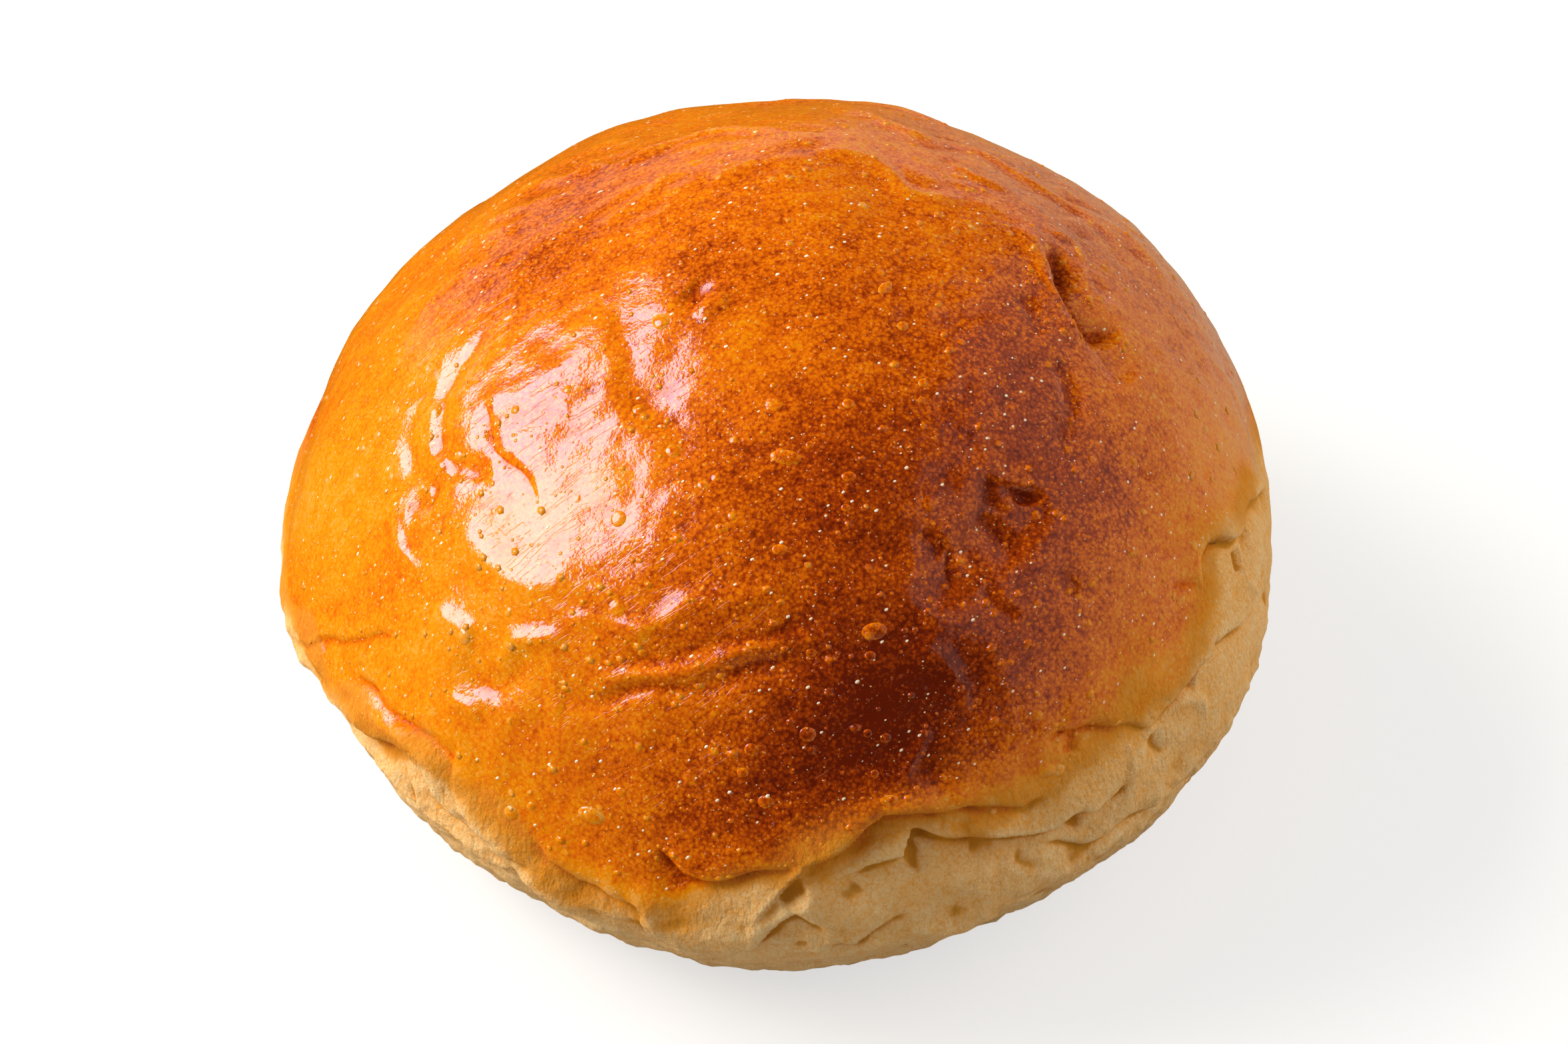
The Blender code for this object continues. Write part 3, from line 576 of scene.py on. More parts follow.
def waves(points, wavelength, seed):
    """A smooth random field of about unit size: plane waves in random directions."""
    rng = np.random.default_rng(seed)
    direction = rng.normal(size=(SWELL_WAVES, 3))
    direction /= np.linalg.norm(direction, axis=1, keepdims=True)
    stretch = rng.uniform(*WAVE_STRETCH, SWELL_WAVES)
    phase = rng.uniform(0.0, 2.0 * math.pi, SWELL_WAVES)
    turn = 2.0 * math.pi / wavelength
    field = np.zeros(len(points))
    for ray, pull, start in zip(direction, stretch, phase):
        field += np.sin(turn * pull * (points @ ray) + start)
    return field * math.sqrt(2.0 / SWELL_WAVES)


def path_stations(path):
    """Points of a path in millimetres."""
    angles = np.radians(np.array(path, dtype=float))
    return crust_point(angles[:, 0], angles[:, 1]) / MILLIMETRE


def fold_distance(points, normals, path):
    """Distance in millimetres to a path, the side it is on, and how far along it is."""
    stations = path_stations(path)
    if len(stations) == 1:
        away = np.linalg.norm(points - stations[0], axis=1)
        return away, away, np.full(len(points), 0.5)
    lengths = np.linalg.norm(np.diff(stations, axis=0), axis=1)
    starts = np.concatenate([[0.0], np.cumsum(lengths)])
    nearest = np.full(len(points), np.inf)
    side = np.zeros(len(points))
    travelled = np.zeros(len(points))
    for first, last, length, start in zip(stations, stations[1:], lengths, starts):
        tangent = (last - first) / length
        along = np.clip((points - first) @ tangent, 0.0, length)
        offset = points - first - along[:, None] * tangent
        away = np.linalg.norm(offset, axis=1)
        left = np.einsum("ij,ij->i", np.cross(normals, tangent), offset)
        closer = away < nearest
        nearest = np.where(closer, away, nearest)
        side = np.where(closer, left, side)
        travelled = np.where(closer, start + along, travelled)
    return nearest, side, travelled / starts[-1]


def near_path(points, path, margin):
    """Which points may lie within a margin in millimetres of a path."""
    stations = path_stations(path)
    near = np.all(points > stations.min(axis=0) - margin, axis=1)
    return near & np.all(points < stations.max(axis=0) + margin, axis=1)


def whole_fold(fold):
    """The six values of a fold, also where it is written without swells."""
    return fold if len(fold) == 6 else (*fold[:2], 0.0, 0.0, PLAIN_REACH, fold[2])


def fold_relief(points, normals, fold):
    """Heights in millimetres that one fold adds: its crease or ridge, and its swells."""
    height, width, upper, lower, reach, path = whole_fold(fold)
    relief = np.zeros(len(points))
    near = near_path(points, path, FOLD_MARGIN * max(width, reach))
    nearest, side, share = fold_distance(points[near], normals[near], path)
    fade = 1.0 - (2.0 * share - 1.0) ** END_FADE
    if height > 0.0 or upper == lower == 0.0:
        profile = np.exp(-((nearest / width) ** 2))
    else:
        rounded = np.sqrt(nearest**2 + (CREASE_ROUNDING * width) ** 2) / width
        profile = np.exp(-CREASE_DECAY * (rounded - CREASE_ROUNDING))
    above = 0.5 * (1.0 + np.tanh(STEP_SHARPNESS * side / width))
    swell = (upper * above + lower * (1.0 - above)) * np.exp(-((nearest / reach) ** 2))
    relief[near] = fade * height * profile + fade * swell
    return relief


def dough_relief(points, normals, shape):
    """Height in metres of all swells, folds and wrinkles over the smooth bun."""
    fine = points / MILLIMETRE
    relief = np.zeros(len(fine))
    for index, (height, wavelength) in enumerate(SWELLS):
        relief += shape.swell * height * waves(fine, wavelength, SWELL_SEED + index)
    drift = [waves(fine, WANDER_LENGTH, WANDER_SEED + axis) for axis in range(3)]
    wandered = fine + WANDER * np.stack(drift, axis=-1)
    for fold in ALL_FOLDS:
        relief += shape.fold_depth * fold_relief(wandered, normals, fold)
    bare = np.clip((LUMP_HEIGHT - points[:, 2]) / LUMP_FADE, 0.0, 1.0)
    for height, wavelength in BASE_LUMPS:
        relief += bare * height * waves(fine, wavelength, LUMP_SEED)
    wrinkles = waves(fine, WRINKLE_LENGTH, WRINKLE_SEED)
    ripples = (1.0 - bare) * waves(fine, RIPPLE_LENGTH, RIPPLE_SEED)
    relief += (shape.wrinkle_height * wrinkles + shape.ripple_height * ripples) / MILLIMETRE
    calm = np.clip(points[:, 2] / CALM_HEIGHT, 0.0, 1.0)
    return MILLIMETRE * relief * calm


def hollowness(mesh, relief):
    """From -1 on ridges to 1 in creases: how far each point lies below those round it."""
    ends = np.empty(2 * len(mesh.edges), dtype=np.int32)
    mesh.edges.foreach_get("vertices", ends)
    first, last = ends.reshape(-1, 2).T
    degree = np.bincount(ends, minlength=len(relief))
    around = relief
    for _ in range(HOLLOW_ROUNDS):
        total = np.bincount(first, around[last], len(relief)) + np.bincount(last, around[first], len(relief))
        around = 0.5 * (around + total / degree)
    return np.clip((around - relief) / HOLLOW_DEPTH, -1.0, 1.0)


def angle_between(azimuth, latitude, other_azimuth, other_latitude):
    """Degrees between directions given in degrees."""
    a = np.radians(azimuth - other_azimuth)
    p = np.radians(latitude)
    q = math.radians(other_latitude)
    cosine = np.sin(p) * math.sin(q) + np.cos(p) * math.cos(q) * np.cos(a)
    return np.degrees(np.arccos(np.clip(cosine, -1.0, 1.0)))


def above_rim(azimuth, latitude, points, wavelength, lift=0.0):
    """From 0 under the rim of the browning to 1 on the crown, at angles in degrees."""
    rim = np.array(BROWN_RIM, dtype=float)
    edge = np.interp(azimuth, rim[:, 0], rim[:, 1]) + lift
    softness = np.interp(azimuth, rim[:, 0], rim[:, 2])
    strayed = latitude - edge + RIM_WOBBLE * waves(points, wavelength, RIM_SEED)
    softness = np.where(strayed < 0.0, FALL_SHARE * softness, softness)
    return smooth_step(np.clip(strayed / softness + 0.5, 0.0, 1.0))


def bake_depth(azimuth, latitude, points):
    """How baked the crust is, from 0 at the pale base to 1 at its darkest."""
    rise = above_rim(azimuth, latitude, points, BAKE_WOBBLE_LENGTH)
    rise = rise + RIM_MOTTLE * rise * (1.0 - rise) * waves(points, MOTTLE_LENGTH, RIM_SEED + 2)
    climb = np.clip((latitude - BROWNING_LATITUDE) / BROWNING_SPAN, 0.0, 1.0)
    base = BASE_BAKE + BASE_BROWNING * climb
    crown = CROWN_BAKE + CROWN_CLOUDS * waves(points, CLOUD_LENGTH, RIM_SEED + 1)
    for patch_azimuth, patch_latitude, reach, strength in BROWN_PATCHES:
        away = angle_between(azimuth, latitude, patch_azimuth, patch_latitude)
        crown = crown + strength * np.exp(-((away / reach) ** 2))
    return np.clip(base + (crown - base) * rise, 0.0, 1.0)


def read_vertices(mesh, normals=False):
    """The positions or the normals of a mesh's vertices as rows."""
    values = np.empty(3 * len(mesh.vertices))
    if normals:
        mesh.vertex_normals.foreach_get("vector", values)
    else:
        mesh.vertices.foreach_get("co", values)
    return values.reshape(-1, 3)


def write_vertices(mesh, places):
    """Moves a mesh's vertices to rows of positions."""
    mesh.vertices.foreach_set("co", places.ravel())
    mesh.update()


def write_masks(mesh, **masks):
    """Stores one number of each mask for each vertex."""
    for name, values in masks.items():
        layer = mesh.attributes.new(name, "FLOAT", "POINT")
        layer.data.foreach_set("value", values.astype(np.float32))


def finished_mesh(name, shape):
    """Turns a bmesh into a mesh."""
    mesh = bpy.data.meshes.new(name)
    shape.to_mesh(mesh)
    shape.free()
    return mesh


def even_directions(places):
    """Directions in which an even cube's points lie on a ball, as azimuths and latitudes."""
    even = np.tan(places * math.pi / 4.0)
    even /= np.linalg.norm(even, axis=1, keepdims=True)
    return np.arctan2(even[:, 1], even[:, 0]), np.arcsin(np.clip(even[:, 2], -1.0, 1.0))


def refine(shape, wanted):
    """Halves the squares of a cube where a test on their azimuth and latitude asks for it."""
    middles = np.array([face.calc_center_median() for face in shape.faces])
    chosen = wanted(*even_directions(middles))
    edges = {edge for face, pick in zip(shape.faces, chosen) if pick for edge in face.edges}
    edges = [edge for edge in shape.edges if edge in edges]
    bmesh.ops.subdivide_edges(shape, edges=edges, cuts=1, use_grid_fill=True)


def faces_viewer(azimuth, latitude):
    """The front, the sides and the top, where most detail shows."""
    turned = np.cos(latitude) * np.cos(azimuth - math.radians(FRONT_AZIMUTH))
    facing = FRONT_SHARE * turned + TOP_SHARE * np.sin(latitude)
    return (facing > LEAST_FACING) & (latitude > math.radians(LOWEST_FINE))


def holds_crease(azimuth, latitude):
    """Places close to a fold of the front and the sides."""
    places = crust_point(azimuth, latitude)
    fine = places / MILLIMETRE
    outwards = places / np.linalg.norm(places, axis=1, keepdims=True)
    close = np.zeros(len(fine), dtype=bool)
    for fold in FINE_FOLDS:
        width, path = fold[1], fold[-1]
        near = near_path(fine, path, BAND_MARGIN)
        nearest = fold_distance(fine[near], outwards[near], path)[0]
        close[near] |= nearest < BAND_WIDTH + BAND_SPREAD * min(width, WIDEST_CREASE)
    return close & faces_viewer(azimuth, latitude)


def even_ball(squares):
    """A cube of side two with an even grid on each side, finer where detail shows."""
    shape = bmesh.new()
    bmesh.ops.create_cube(shape, size=2.0)
    bmesh.ops.subdivide_edges(shape, edges=shape.edges[:], cuts=squares - 1, use_grid_fill=True)
    refine(shape, faces_viewer)
    refine(shape, holds_crease)
    return finished_mesh("crust", shape)


def new_piece(name, mesh, material):
    """Links a finished mesh to the scene and lets it ride with the bun."""
    piece = bpy.data.objects.new(name, mesh)
    bpy.context.scene.collection.objects.link(piece)
    mesh.materials.append(material)
    mesh.shade_smooth()
    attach(piece, "root")
    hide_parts("bun")


class Nodes:
    """Adds linked nodes to a material, a world or a node group."""

    def __init__(self, tree):
        self.tree = tree

    def fill(self, node, sockets):
        """Links or sets the inputs of a node."""
        for key, value in sockets.items():
            if isinstance(value, bpy.types.NodeSocket):
                self.tree.links.new(value, node.inputs[key])
            else:
                node.inputs[key].default_value = value

    def add(self, kind, sockets=None, **settings):
        """A new node with its settings and its inputs."""
        node = self.tree.nodes.new(kind)
        for key, value in settings.items():
            setattr(node, key, value)
        self.fill(node, sockets or {})
        return node

    def maths(self, operation, *values, clamp=False):
        """The result of an operation on numbers."""
        node = self.add("ShaderNodeMath", dict(enumerate(values)), operation=operation, use_clamp=clamp)
        return node.outputs[0]

    def times(self, first, second, clamp=False):
        """The product of two numbers."""
        return self.maths("MULTIPLY", first, second, clamp=clamp)

    def total(self, result, *parts):
        """A value to which each field is added, times its strength."""
        for field, strength in parts:
            result = self.maths("MULTIPLY_ADD", field, strength, result)
        return result

    def centred(self, field, middle=0.5):
        """A field without its middle value."""
        return self.maths("SUBTRACT", field, middle)

    def vectors(self, operation, first, second):
        """The result of an operation on vectors."""
        node = self.add("ShaderNodeVectorMath", {0: first, 1: second}, operation=operation)
        return node.outputs[0]

    def between(self, value, low, high, start=0.0, end=1.0):
        """Smoothly turns a range of values into another."""
        node = self.add(
            "ShaderNodeMapRange",
            {"Value": value, "From Min": low, "From Max": high, "To Min": start, "To Max": end},
            interpolation_type="SMOOTHSTEP",
        )
        return node.outputs["Result"]

    def noise(self, vector, scale, detail=2.0, roughness=0.5):
        """Soft random values round a half."""
        node = self.add(
            "ShaderNodeTexNoise",
            {"Vector": vector, "Scale": scale, "Detail": detail, "Roughness": roughness},
        )
        return node.outputs["Fac"]

    def stretched(self, vector, direction, share):
        """Coordinates squeezed along a direction, so that noise draws streaks along it."""
        along = self.add("ShaderNodeVectorMath", {0: vector, 1: direction}, operation="DOT_PRODUCT")
        length = self.times(along.outputs["Value"], share)
        pull = self.add("ShaderNodeVectorMath", {0: direction, "Scale": length}, operation="SCALE")
        return self.vectors("SUBTRACT", vector, pull.outputs[0])

    def cells(self, vector, scale):
        """Cells round scattered points."""
        return self.add("ShaderNodeTexVoronoi", {"Vector": vector, "Scale": scale, "Randomness": 1.0})

    def bubbles(self, vector, scale, rare, reach):
        """Scattered round domes, from 0 outside to 1 at their tops."""
        cells = self.cells(vector, scale)
        pick = self.add("ShaderNodeSeparateColor", {"Color": cells.outputs["Color"]})
        chosen = self.between(pick.outputs[0], rare, rare + PICK_SOFTNESS)
        size = self.total(SMALLEST_BUBBLE * reach, (pick.outputs[1], (1.0 - SMALLEST_BUBBLE) * reach))
        dome = self.maths("DIVIDE", cells.outputs["Distance"], size)
        dome = self.maths("SUBTRACT", 1.0, self.times(dome, dome), clamp=True)
        return self.times(dome, chosen)

    def mix(self, share, first, second):
        """A blend of two colours: inputs 6 and 7 and output 2 are those of colours."""
        node = self.add("ShaderNodeMix", {0: share, 6: first, 7: second}, data_type="RGBA")
        return node.outputs[2]


def crust_group(colours):
    """Shader group: colour, roughness, glaze and fine height of baked dough; its colour holds painted shade
    in creases and painted highlights.
    """
    group = bpy.data.node_groups.new("Baked dough", "ShaderNodeTree")
    face = group.interface
    for name in MASKS.values():
        face.new_socket(name, in_out="INPUT", socket_type="NodeSocketFloat")
    face.new_socket("Colour", in_out="OUTPUT", socket_type="NodeSocketColor")
    for name in ("Roughness", "Glaze", "Height"):
        face.new_socket(name, in_out="OUTPUT", socket_type="NodeSocketFloat")
    nodes = Nodes(group)
    inside = nodes.add("NodeGroupInput")
    bake, cover, hollow, blister = (inside.outputs[name] for name in MASKS.values())
    place = nodes.add("ShaderNodeTexCoord").outputs["Object"]

    # Uneven browning: soft clouds, a mottle and a net of darker lines round paler cells
    cloud = nodes.noise(place, 130.0, 3.0, 0.55)
    patchy = nodes.noise(place, 360.0, 3.0, 0.6)
    mottle = nodes.noise(place, 900.0, 4.0, 0.65)
    speck = nodes.noise(place, 3800.0, 2.0, 0.6)
    drift = nodes.add("ShaderNodeTexNoise", {"Vector": place, "Scale": 1800.0}).outputs["Color"]
    bent = nodes.vectors("ADD", place, nodes.vectors("MULTIPLY", drift, (0.0006,) * 3))
    net = nodes.cells(bent, 2300.0).outputs["Distance"]
    brushed = nodes.noise(nodes.stretched(place, BRUSH_DIRECTION, 0.82), 620.0, 3.0, 0.6)
    fibre = nodes.noise(nodes.stretched(place, (0.0, 0.0, 1.0), 0.7), 2100.0, 2.0, 0.6)

    # Small bubbles under the glaze, paler than the crust round them; the tiny and the bright ones also carry
    # painted highlights
    wide = nodes.bubbles(place, 270.0, 0.80, 0.28)
    large = nodes.bubbles(place, 560.0, 0.70, 0.30)
    small = nodes.bubbles(place, 1250.0, 0.55, 0.28)
    tiny = nodes.bubbles(place, 2300.0, 0.60, 0.27)
    bright = nodes.bubbles(nodes.stretched(place, BRUSH_DIRECTION, 0.4), 1150.0, 0.54, 0.19)
    raised = nodes.between(cover, 0.2, 0.8)

    # All of it shifts the browning, most where the crust is baked, and creases are painted darker as shade
    # while ridges are painted lighter
    shift = nodes.total(
        0.0,
        (nodes.centred(cloud), 0.18),
        (nodes.centred(patchy), 0.14),
        (nodes.centred(mottle), 0.26),
        (nodes.centred(speck), 0.42),
        (nodes.centred(net, 0.42), 0.34),
        (nodes.centred(brushed), 0.28),
        (nodes.times(wide, FLAT_TOP, clamp=True), -0.12),
        (nodes.times(large, FLAT_TOP, clamp=True), -0.18),
        (nodes.times(small, FLAT_TOP, clamp=True), -0.20),
        (blister, -0.26),
    )
    deep = nodes.maths("MAXIMUM", hollow, 0.0)
    shade = nodes.total(
        bake,
        (shift, nodes.between(bake, 0.32, 0.68, 0.40, 1.0)),
        (hollow, nodes.between(bake, 0.2, 0.5, 0.08, 0.06)),
        (deep, nodes.between(bake, 0.2, 0.5, 0.02, 0.13)),
        (nodes.centred(fibre), 0.20),
    )
    ramp = nodes.add("ShaderNodeValToRGB", {"Fac": shade})
    stops = (
        (0.05, colours.pale),
        (0.28, colours.tan),
        (0.43, colours.golden),
        (0.60, colours.orange),
        (0.80, colours.brown),
        (1.00, colours.dark),
    )
    while len(ramp.color_ramp.elements) < len(stops):
        ramp.color_ramp.elements.new(0.5)
    for element, (where, tint) in zip(ramp.color_ramp.elements, stops):
        element.position = where
        element.color = (*tint, 1.0)

    # Tones laid over it: dry dough, painted shade in folds, pores, and painted highlights on tiny bubbles
    # and at the brightest points
    dry = nodes.times(nodes.between(cover, 0.0, 0.8, 0.5, 0.0), nodes.between(bake, 0.20, 0.34))
    creased = nodes.between(deep, 0.25, 0.9)
    shaded = nodes.times(creased, nodes.between(bake, 0.2, 0.45, 0.88, 0.0), clamp=True)
    pores = nodes.between(nodes.noise(place, 4200.0, 1.0, 0.5), 0.36, 0.42, 1.0, 0.0)
    pores = nodes.times(pores, nodes.between(bake, 0.2, 0.4, 0.3, 0.0))
    painted_glint = nodes.times(nodes.times(tiny, 2.0, clamp=True), raised)
    painted_glint = nodes.times(painted_glint, nodes.between(speck, 0.45, 0.60, 0.15, 0.75))
    painted_sparkle = nodes.times(nodes.times(bright, 3.0, clamp=True), raised)
    colour = ramp.outputs["Color"]
    for share, tint in (
        (dry, colours.dry),
        (shaded, colours.crease_shade_and_pores),
        (pores, colours.crease_shade_and_pores),
        (painted_glint, colours.painted_glint),
        (painted_sparkle, colours.painted_sparkle),
    ):
        colour = nodes.mix(share, colour, (*tint, 1.0))

    # Relief of the glaze in metres: its skin, the strokes of the brush and the bubbles
    stroke = nodes.noise(nodes.stretched(place, BRUSH_DIRECTION, 0.88), 900.0, 3.0, 0.55)
    stroke = nodes.between(nodes.maths("ABSOLUTE", nodes.centred(stroke)), 0.0, 0.025)
    skin = nodes.total(
        0.0,
        (nodes.noise(place, 3300.0, 1.0, 0.5), 0.000018),
        (brushed, 0.00003),
        (nodes.maths("MAXIMUM", stroke, nodes.between(patchy, 0.47, 0.55)), 0.000014),
        (wide, 0.00016),
        (large, 0.00014),
        (small, 0.00007),
        (bright, 0.00008),
        (tiny, 0.00002),
    )

    # Relief of the dough in metres, bare and glazed: its grain and its wrinkles
    grain = nodes.noise(place, 1700.0, 3.0, 0.6)
    folded = nodes.maths("ABSOLUTE", nodes.centred(nodes.noise(place, 420.0, 2.0, 0.5)))
    height = 0.0
    for field, bare, glazed in (
        (grain, 0.00016, 0.00001),
        (folded, 0.00040, 0.00009),
        (mottle, 0.00004, 0.00002),
        (speck, 0.00004, 0.0),
        (fibre, 0.00013, 0.0),
    ):
        height = nodes.total(height, (field, nodes.between(cover, 0.0, 1.0, bare, glazed)))
    height = nodes.total(height, (skin, raised))

    rough = nodes.total(nodes.between(cover, 0.0, 1.0, 0.66, 0.42), (nodes.centred(mottle), 0.2))
    glaze = nodes.times(cover, nodes.between(cloud, 0.2, 0.5, 0.75, 1.0))
    glaze = nodes.times(glaze, nodes.between(deep, 0.1, 0.7, 1.0, 0.15))
    nodes.add(
        "NodeGroupOutput", {"Colour": colour, "Roughness": rough, "Glaze": glaze, "Height": height}
    )
    return group


def crust_material(name, group):
    """Baked dough under a thin egg glaze."""
    material = bpy.data.materials.new(name)
    material.use_nodes = True
    nodes = Nodes(material.node_tree)
    dough = nodes.add("ShaderNodeGroup", node_tree=group)
    for mask, socket in MASKS.items():
        layer = nodes.add("ShaderNodeAttribute", attribute_name=mask)
        nodes.fill(dough, {socket: layer.outputs["Fac"]})
    bump = nodes.add("ShaderNodeBump", {"Height": dough.outputs["Height"], "Distance": 1.0, "Strength": 1.0})
    nodes.fill(
        material.node_tree.nodes["Principled BSDF"],
        {
            "Base Color": dough.outputs["Colour"],
            "Roughness": dough.outputs["Roughness"],
            "Coat Weight": dough.outputs["Glaze"],
            "Normal": bump.outputs["Normal"],
            "Coat Normal": bump.outputs["Normal"],
            "Coat Roughness": 0.07,
            "Coat IOR": 1.7,
            "IOR": 1.45,
            "Specular IOR Level": 0.03,
        },
    )
    return material


class BUN_OT_crust(bpy.types.Operator):
    """Builds the crust with its folds, wrinkles and baked colours"""

    bl_idname = "bun.crust"
    bl_label = "Crust"

    def execute(self, context):
        shape = context.scene.bun_shape
        mesh = even_ball(shape.squares)
        azimuth, latitude = even_directions(read_vertices(mesh))
        smooth = crust_point(azimuth, latitude)
        write_vertices(mesh, smooth)
        normals = read_vertices(mesh, normals=True)
        relief = dough_relief(smooth, normals, shape)
        raised = smooth + normals * relief[:, None]
        raised[:, 2] = np.maximum(raised[:, 2], 0.0)
        low, high = (np.array(corner) for corner in CAD_BOX)
        middle = 0.5 * (raised.min(axis=0) + raised.max(axis=0))
        raised[:, :2] += 0.5 * (low + high)[:2] - middle[:2]
        write_vertices(mesh, raised)
        where = (np.degrees(azimuth), np.degrees(latitude), smooth / MILLIMETRE)
        write_masks(
            mesh,
            bake=bake_depth(*where),
            glaze=above_rim(*where, GLAZE_WOBBLE_LENGTH, GLAZE_RISE),
            # The hollow mask paints shade into creases and light onto ridges
            hollow=np.clip(smooth[:, 2] / HOLLOW_FADE, HOLLOW_LOW, 1.0) * hollowness(mesh, relief),
            blister=np.zeros(len(raised)),
        )
        group = crust_group(context.scene.bun_colours)
        new_piece("crust", mesh, crust_material("Crust", group))
        return {"FINISHED"}


def add_dome(shape, place, normal, size, length, spin, rounds):
    """Adds a low dome of given half width and half length, and lists how near its rim each vertex is."""
    made = bmesh.ops.create_icosphere(shape, subdivisions=rounds, radius=1.0)["verts"]
    turn = Vector(normal).to_track_quat("Z", "Y")
    edges = []
    for vertex in made:
        x, y, z = vertex.co
        x, y = x * math.cos(spin) - y * math.sin(spin), x * math.sin(spin) + y * math.cos(spin)
        vertex.co = Vector(place) + turn @ Vector((x * length, y * size, (z - DOME_CUT) * size * DOME_RISE))
        edges.append(1.0 - DOME_EDGE_FADE * max(z - DOME_CUT, 0.0) / (1.0 - DOME_CUT))
    return edges


def read_bake(mesh):
    """How baked each vertex of the crust is."""
    bake = np.empty(len(mesh.vertices), dtype=np.float32)
    mesh.attributes["bake"].data.foreach_get("value", bake)
    return bake


def raise_domes(name, domes, rounds, edge=None):
    """Makes one piece of domes, each (vertex of the crust, half width, half length, turn)."""
    crust = bpy.data.objects["crust"].data
    places = read_vertices(crust)
    normals = read_vertices(crust, normals=True)
    bake = read_bake(crust)
    shape = bmesh.new()
    bakes = []
    edges = []
    for index, size, length, spin in domes:
        rims = add_dome(shape, places[index], normals[index], size, length, spin, rounds)
        edges += rims if edge is None else [edge] * len(rims)
        bakes += [bake[index]] * len(rims)
    mesh = finished_mesh(name, shape)
    count = len(bakes)
    write_masks(
        mesh, bake=np.array(bakes), glaze=np.ones(count), hollow=np.zeros(count), blister=np.array(edges)
    )
    new_piece(name, mesh, bpy.data.materials["Crust"])


class BUN_OT_blisters(bpy.types.Operator):
    """Scatters small raised blisters over the browned crust"""

    bl_idname = "bun.blisters"
    bl_label = "Blisters"

    def execute(self, context):
        sizes = context.scene.blister_sizes
        bake = read_bake(bpy.data.objects["crust"].data)
        rng = np.random.default_rng(sizes.seed)
        weight = np.clip((bake - BLISTER_BAKE) / BLISTER_RISE, 0.0, 1.0)
        chosen = rng.choice(len(bake), sizes.count, replace=False, p=weight / weight.sum())
        domes = []
        for index in chosen:
            growth = rng.random() ** BLISTER_RARITY
            radius = sizes.smallest + (sizes.largest - sizes.smallest) * growth
            length = radius * rng.uniform(1.0, BLISTER_STRETCH)
            domes.append((index, radius, length, rng.uniform(0.0, math.pi)))
        raise_domes("blisters", domes, rounds=1, edge=BLISTER_EDGE)
        return {"FINISHED"}


class BUN_OT_bubbles(bpy.types.Operator):
    """Sets the larger bubbles of the glaze, each in its own place"""

    bl_idname = "bun.bubbles"
    bl_label = "Bubbles"

    def execute(self, context):
        places = read_vertices(bpy.data.objects["crust"].data)
        domes = []
        for azimuth, latitude, size, stretch, turned in LARGE_BUBBLES:
            middle = MILLIMETRE * path_stations([(azimuth, latitude)])[0]
            index = int(np.linalg.norm(places - middle, axis=1).argmin())
            radius = size * MILLIMETRE
            domes.append((index, radius, radius * stretch, math.radians(turned)))
        raise_domes("bubbles", domes, rounds=3)
        return {"FINISHED"}


def look_from(name, data, aim, azimuth, elevation, distance):
    """Sets up a light or camera that looks at a point, from a direction in radians."""
    thing = bpy.data.objects.new(name, data)
    level = math.cos(elevation)
    away = Vector((math.cos(azimuth) * level, math.sin(azimuth) * level, math.sin(elevation)))
    thing.location = Vector(aim) + distance * away
    thing.rotation_euler = away.to_track_quat("Z", "Y").to_euler()
    bpy.context.scene.collection.objects.link(thing)
    return thing


def area_light(name, radiance, azimuth, elevation, distance, width, height, colour, mirrored):
    """A soft rectangular light that faces the bun from a direction in degrees."""
    light = bpy.data.lights.new(name, "AREA")
    light.shape = "RECTANGLE"
    light.size = width
    light.size_y = height
    light.energy = radiance * math.pi * width * height
    light.color = colour
    lamp = look_from(name, light, LIGHT_AIM, math.radians(azimuth), math.radians(elevation), distance)
    lamp.visible_glossy = mirrored


def floor_material(studio):
    """A pale, matt floor, warmer where the glaze mirrors it."""
    material = bpy.data.materials.new("Floor")
    material.use_nodes = True
    nodes = Nodes(material.node_tree)
    path = nodes.add("ShaderNodeLightPath")
    across = nodes.add("ShaderNodeSeparateXYZ", {0: nodes.add("ShaderNodeTexCoord").outputs["Object"]})
    right = nodes.between(across.outputs["X"], 0.0, FLOOR_TURN)
    mirrored = nodes.mix(right, (*studio.mirrored_left, 1.0), (*studio.mirrored_right, 1.0))
    nodes.fill(
        material.node_tree.nodes["Principled BSDF"],
        {
            "Base Color": nodes.mix(path.outputs["Is Glossy Ray"], (*studio.floor_colour, 1.0), mirrored),
            "Roughness": 0.9,
            "Specular IOR Level": 0.0,
            "Emission Color": WHITE,
            "Emission Strength": nodes.times(path.outputs["Is Camera Ray"], studio.floor_glow),
        },
    )
    return material


def room_air(studio):
    """Even light from all round, dim and warm where the glaze mirrors it."""
    world = bpy.data.worlds.new("Room")
    world.use_nodes = True
    nodes = Nodes(world.node_tree)
    mirrored = nodes.add("ShaderNodeLightPath").outputs["Is Glossy Ray"]
    nodes.fill(
        world.node_tree.nodes["Background"],
        {
            "Color": nodes.mix(mirrored, WHITE, MIRRORED_AIR),
            "Strength": nodes.total(studio.sky_light, (mirrored, -MIRRORED_DIMMING * studio.sky_light)),
        },
    )
    return world


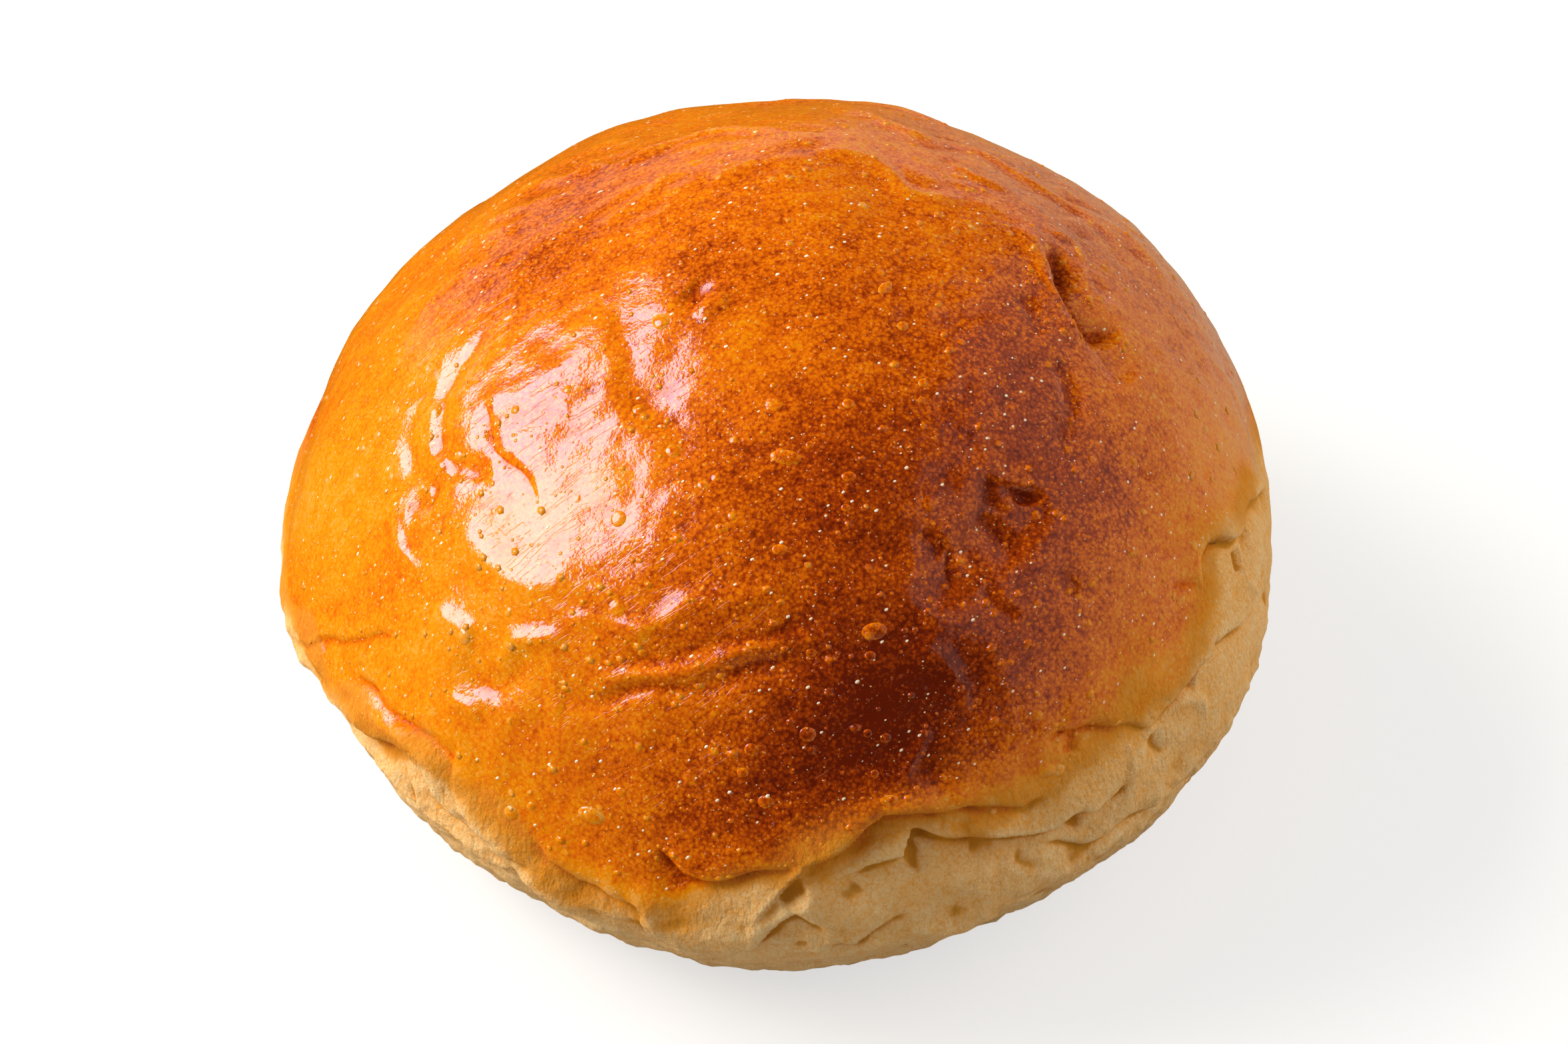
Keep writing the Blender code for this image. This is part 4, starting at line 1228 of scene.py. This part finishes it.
class BUN_OT_stage(bpy.types.Operator):
    """Builds the floor, the lights and the camera"""

    bl_idname = "bun.stage"
    bl_label = "Stage"

    def execute(self, context):
        scene = context.scene
        studio = scene.studio_look
        shape = bmesh.new()
        bmesh.ops.create_grid(shape, x_segments=1, y_segments=1, size=FLOOR_REACH)
        mesh = finished_mesh("floor", shape)
        mesh.materials.append(floor_material(studio))
        floor = bpy.data.objects.new("floor", mesh)
        scene.collection.objects.link(floor)
        for name, placement in LIGHTS.items():
            area_light(name, getattr(studio, f"{name}_light"), *placement)
        scene.world = room_air(studio)
        scene.view_settings.view_transform = "Standard"
        scene.view_settings.look = "None"
        camera = bpy.data.cameras.new("camera")
        camera.lens = studio.lens
        camera.sensor_width = SENSOR_WIDTH
        camera.clip_start = NEAREST_SEEN
        front = math.radians(FRONT_AZIMUTH)
        scene.camera = look_from("camera", camera, CAMERA_AIM, front, studio.elevation, studio.distance)
        return {"FINISHED"}


class BUN_PT_panel(bpy.types.Panel):
    """Lists the bun's sizes, colours and steps"""

    bl_idname = "BUN_PT_panel"
    bl_label = "Burger Bun"
    bl_space_type = "VIEW_3D"
    bl_region_type = "UI"
    bl_category = "Bun"

    def draw(self, context):
        for group in ("bun_shape", "bun_colours", "blister_sizes", "studio_look"):
            settings = getattr(context.scene, group)
            box = self.layout.box()
            for name in settings.bl_rna.properties.keys():
                if name not in ("rna_type", "name"):
                    box.prop(settings, name)
        for operator in STEPS:
            self.layout.operator(operator.bl_idname)


GROUPS = {
    "bun_shape": BunShape,
    "bun_colours": BunColours,
    "blister_sizes": BlisterSizes,
    "studio_look": StudioLook,
}
STEPS = (BUN_OT_crust, BUN_OT_blisters, BUN_OT_bubbles, BUN_OT_stage)


def register():
    for name, group in GROUPS.items():
        bpy.utils.register_class(group)
        setattr(bpy.types.Scene, name, bpy.props.PointerProperty(type=group))
    for kind in (*STEPS, BUN_PT_panel):
        bpy.utils.register_class(kind)


def unregister():
    for kind in (BUN_PT_panel, *reversed(STEPS)):
        bpy.utils.unregister_class(kind)
    for name, group in GROUPS.items():
        delattr(bpy.types.Scene, name)
        bpy.utils.unregister_class(group)


def main():
    register()
    bpy.ops.bun.crust()
    bpy.ops.bun.blisters()
    bpy.ops.bun.bubbles()
    bpy.ops.bun.stage()


if __name__ == "__main__":
    main()
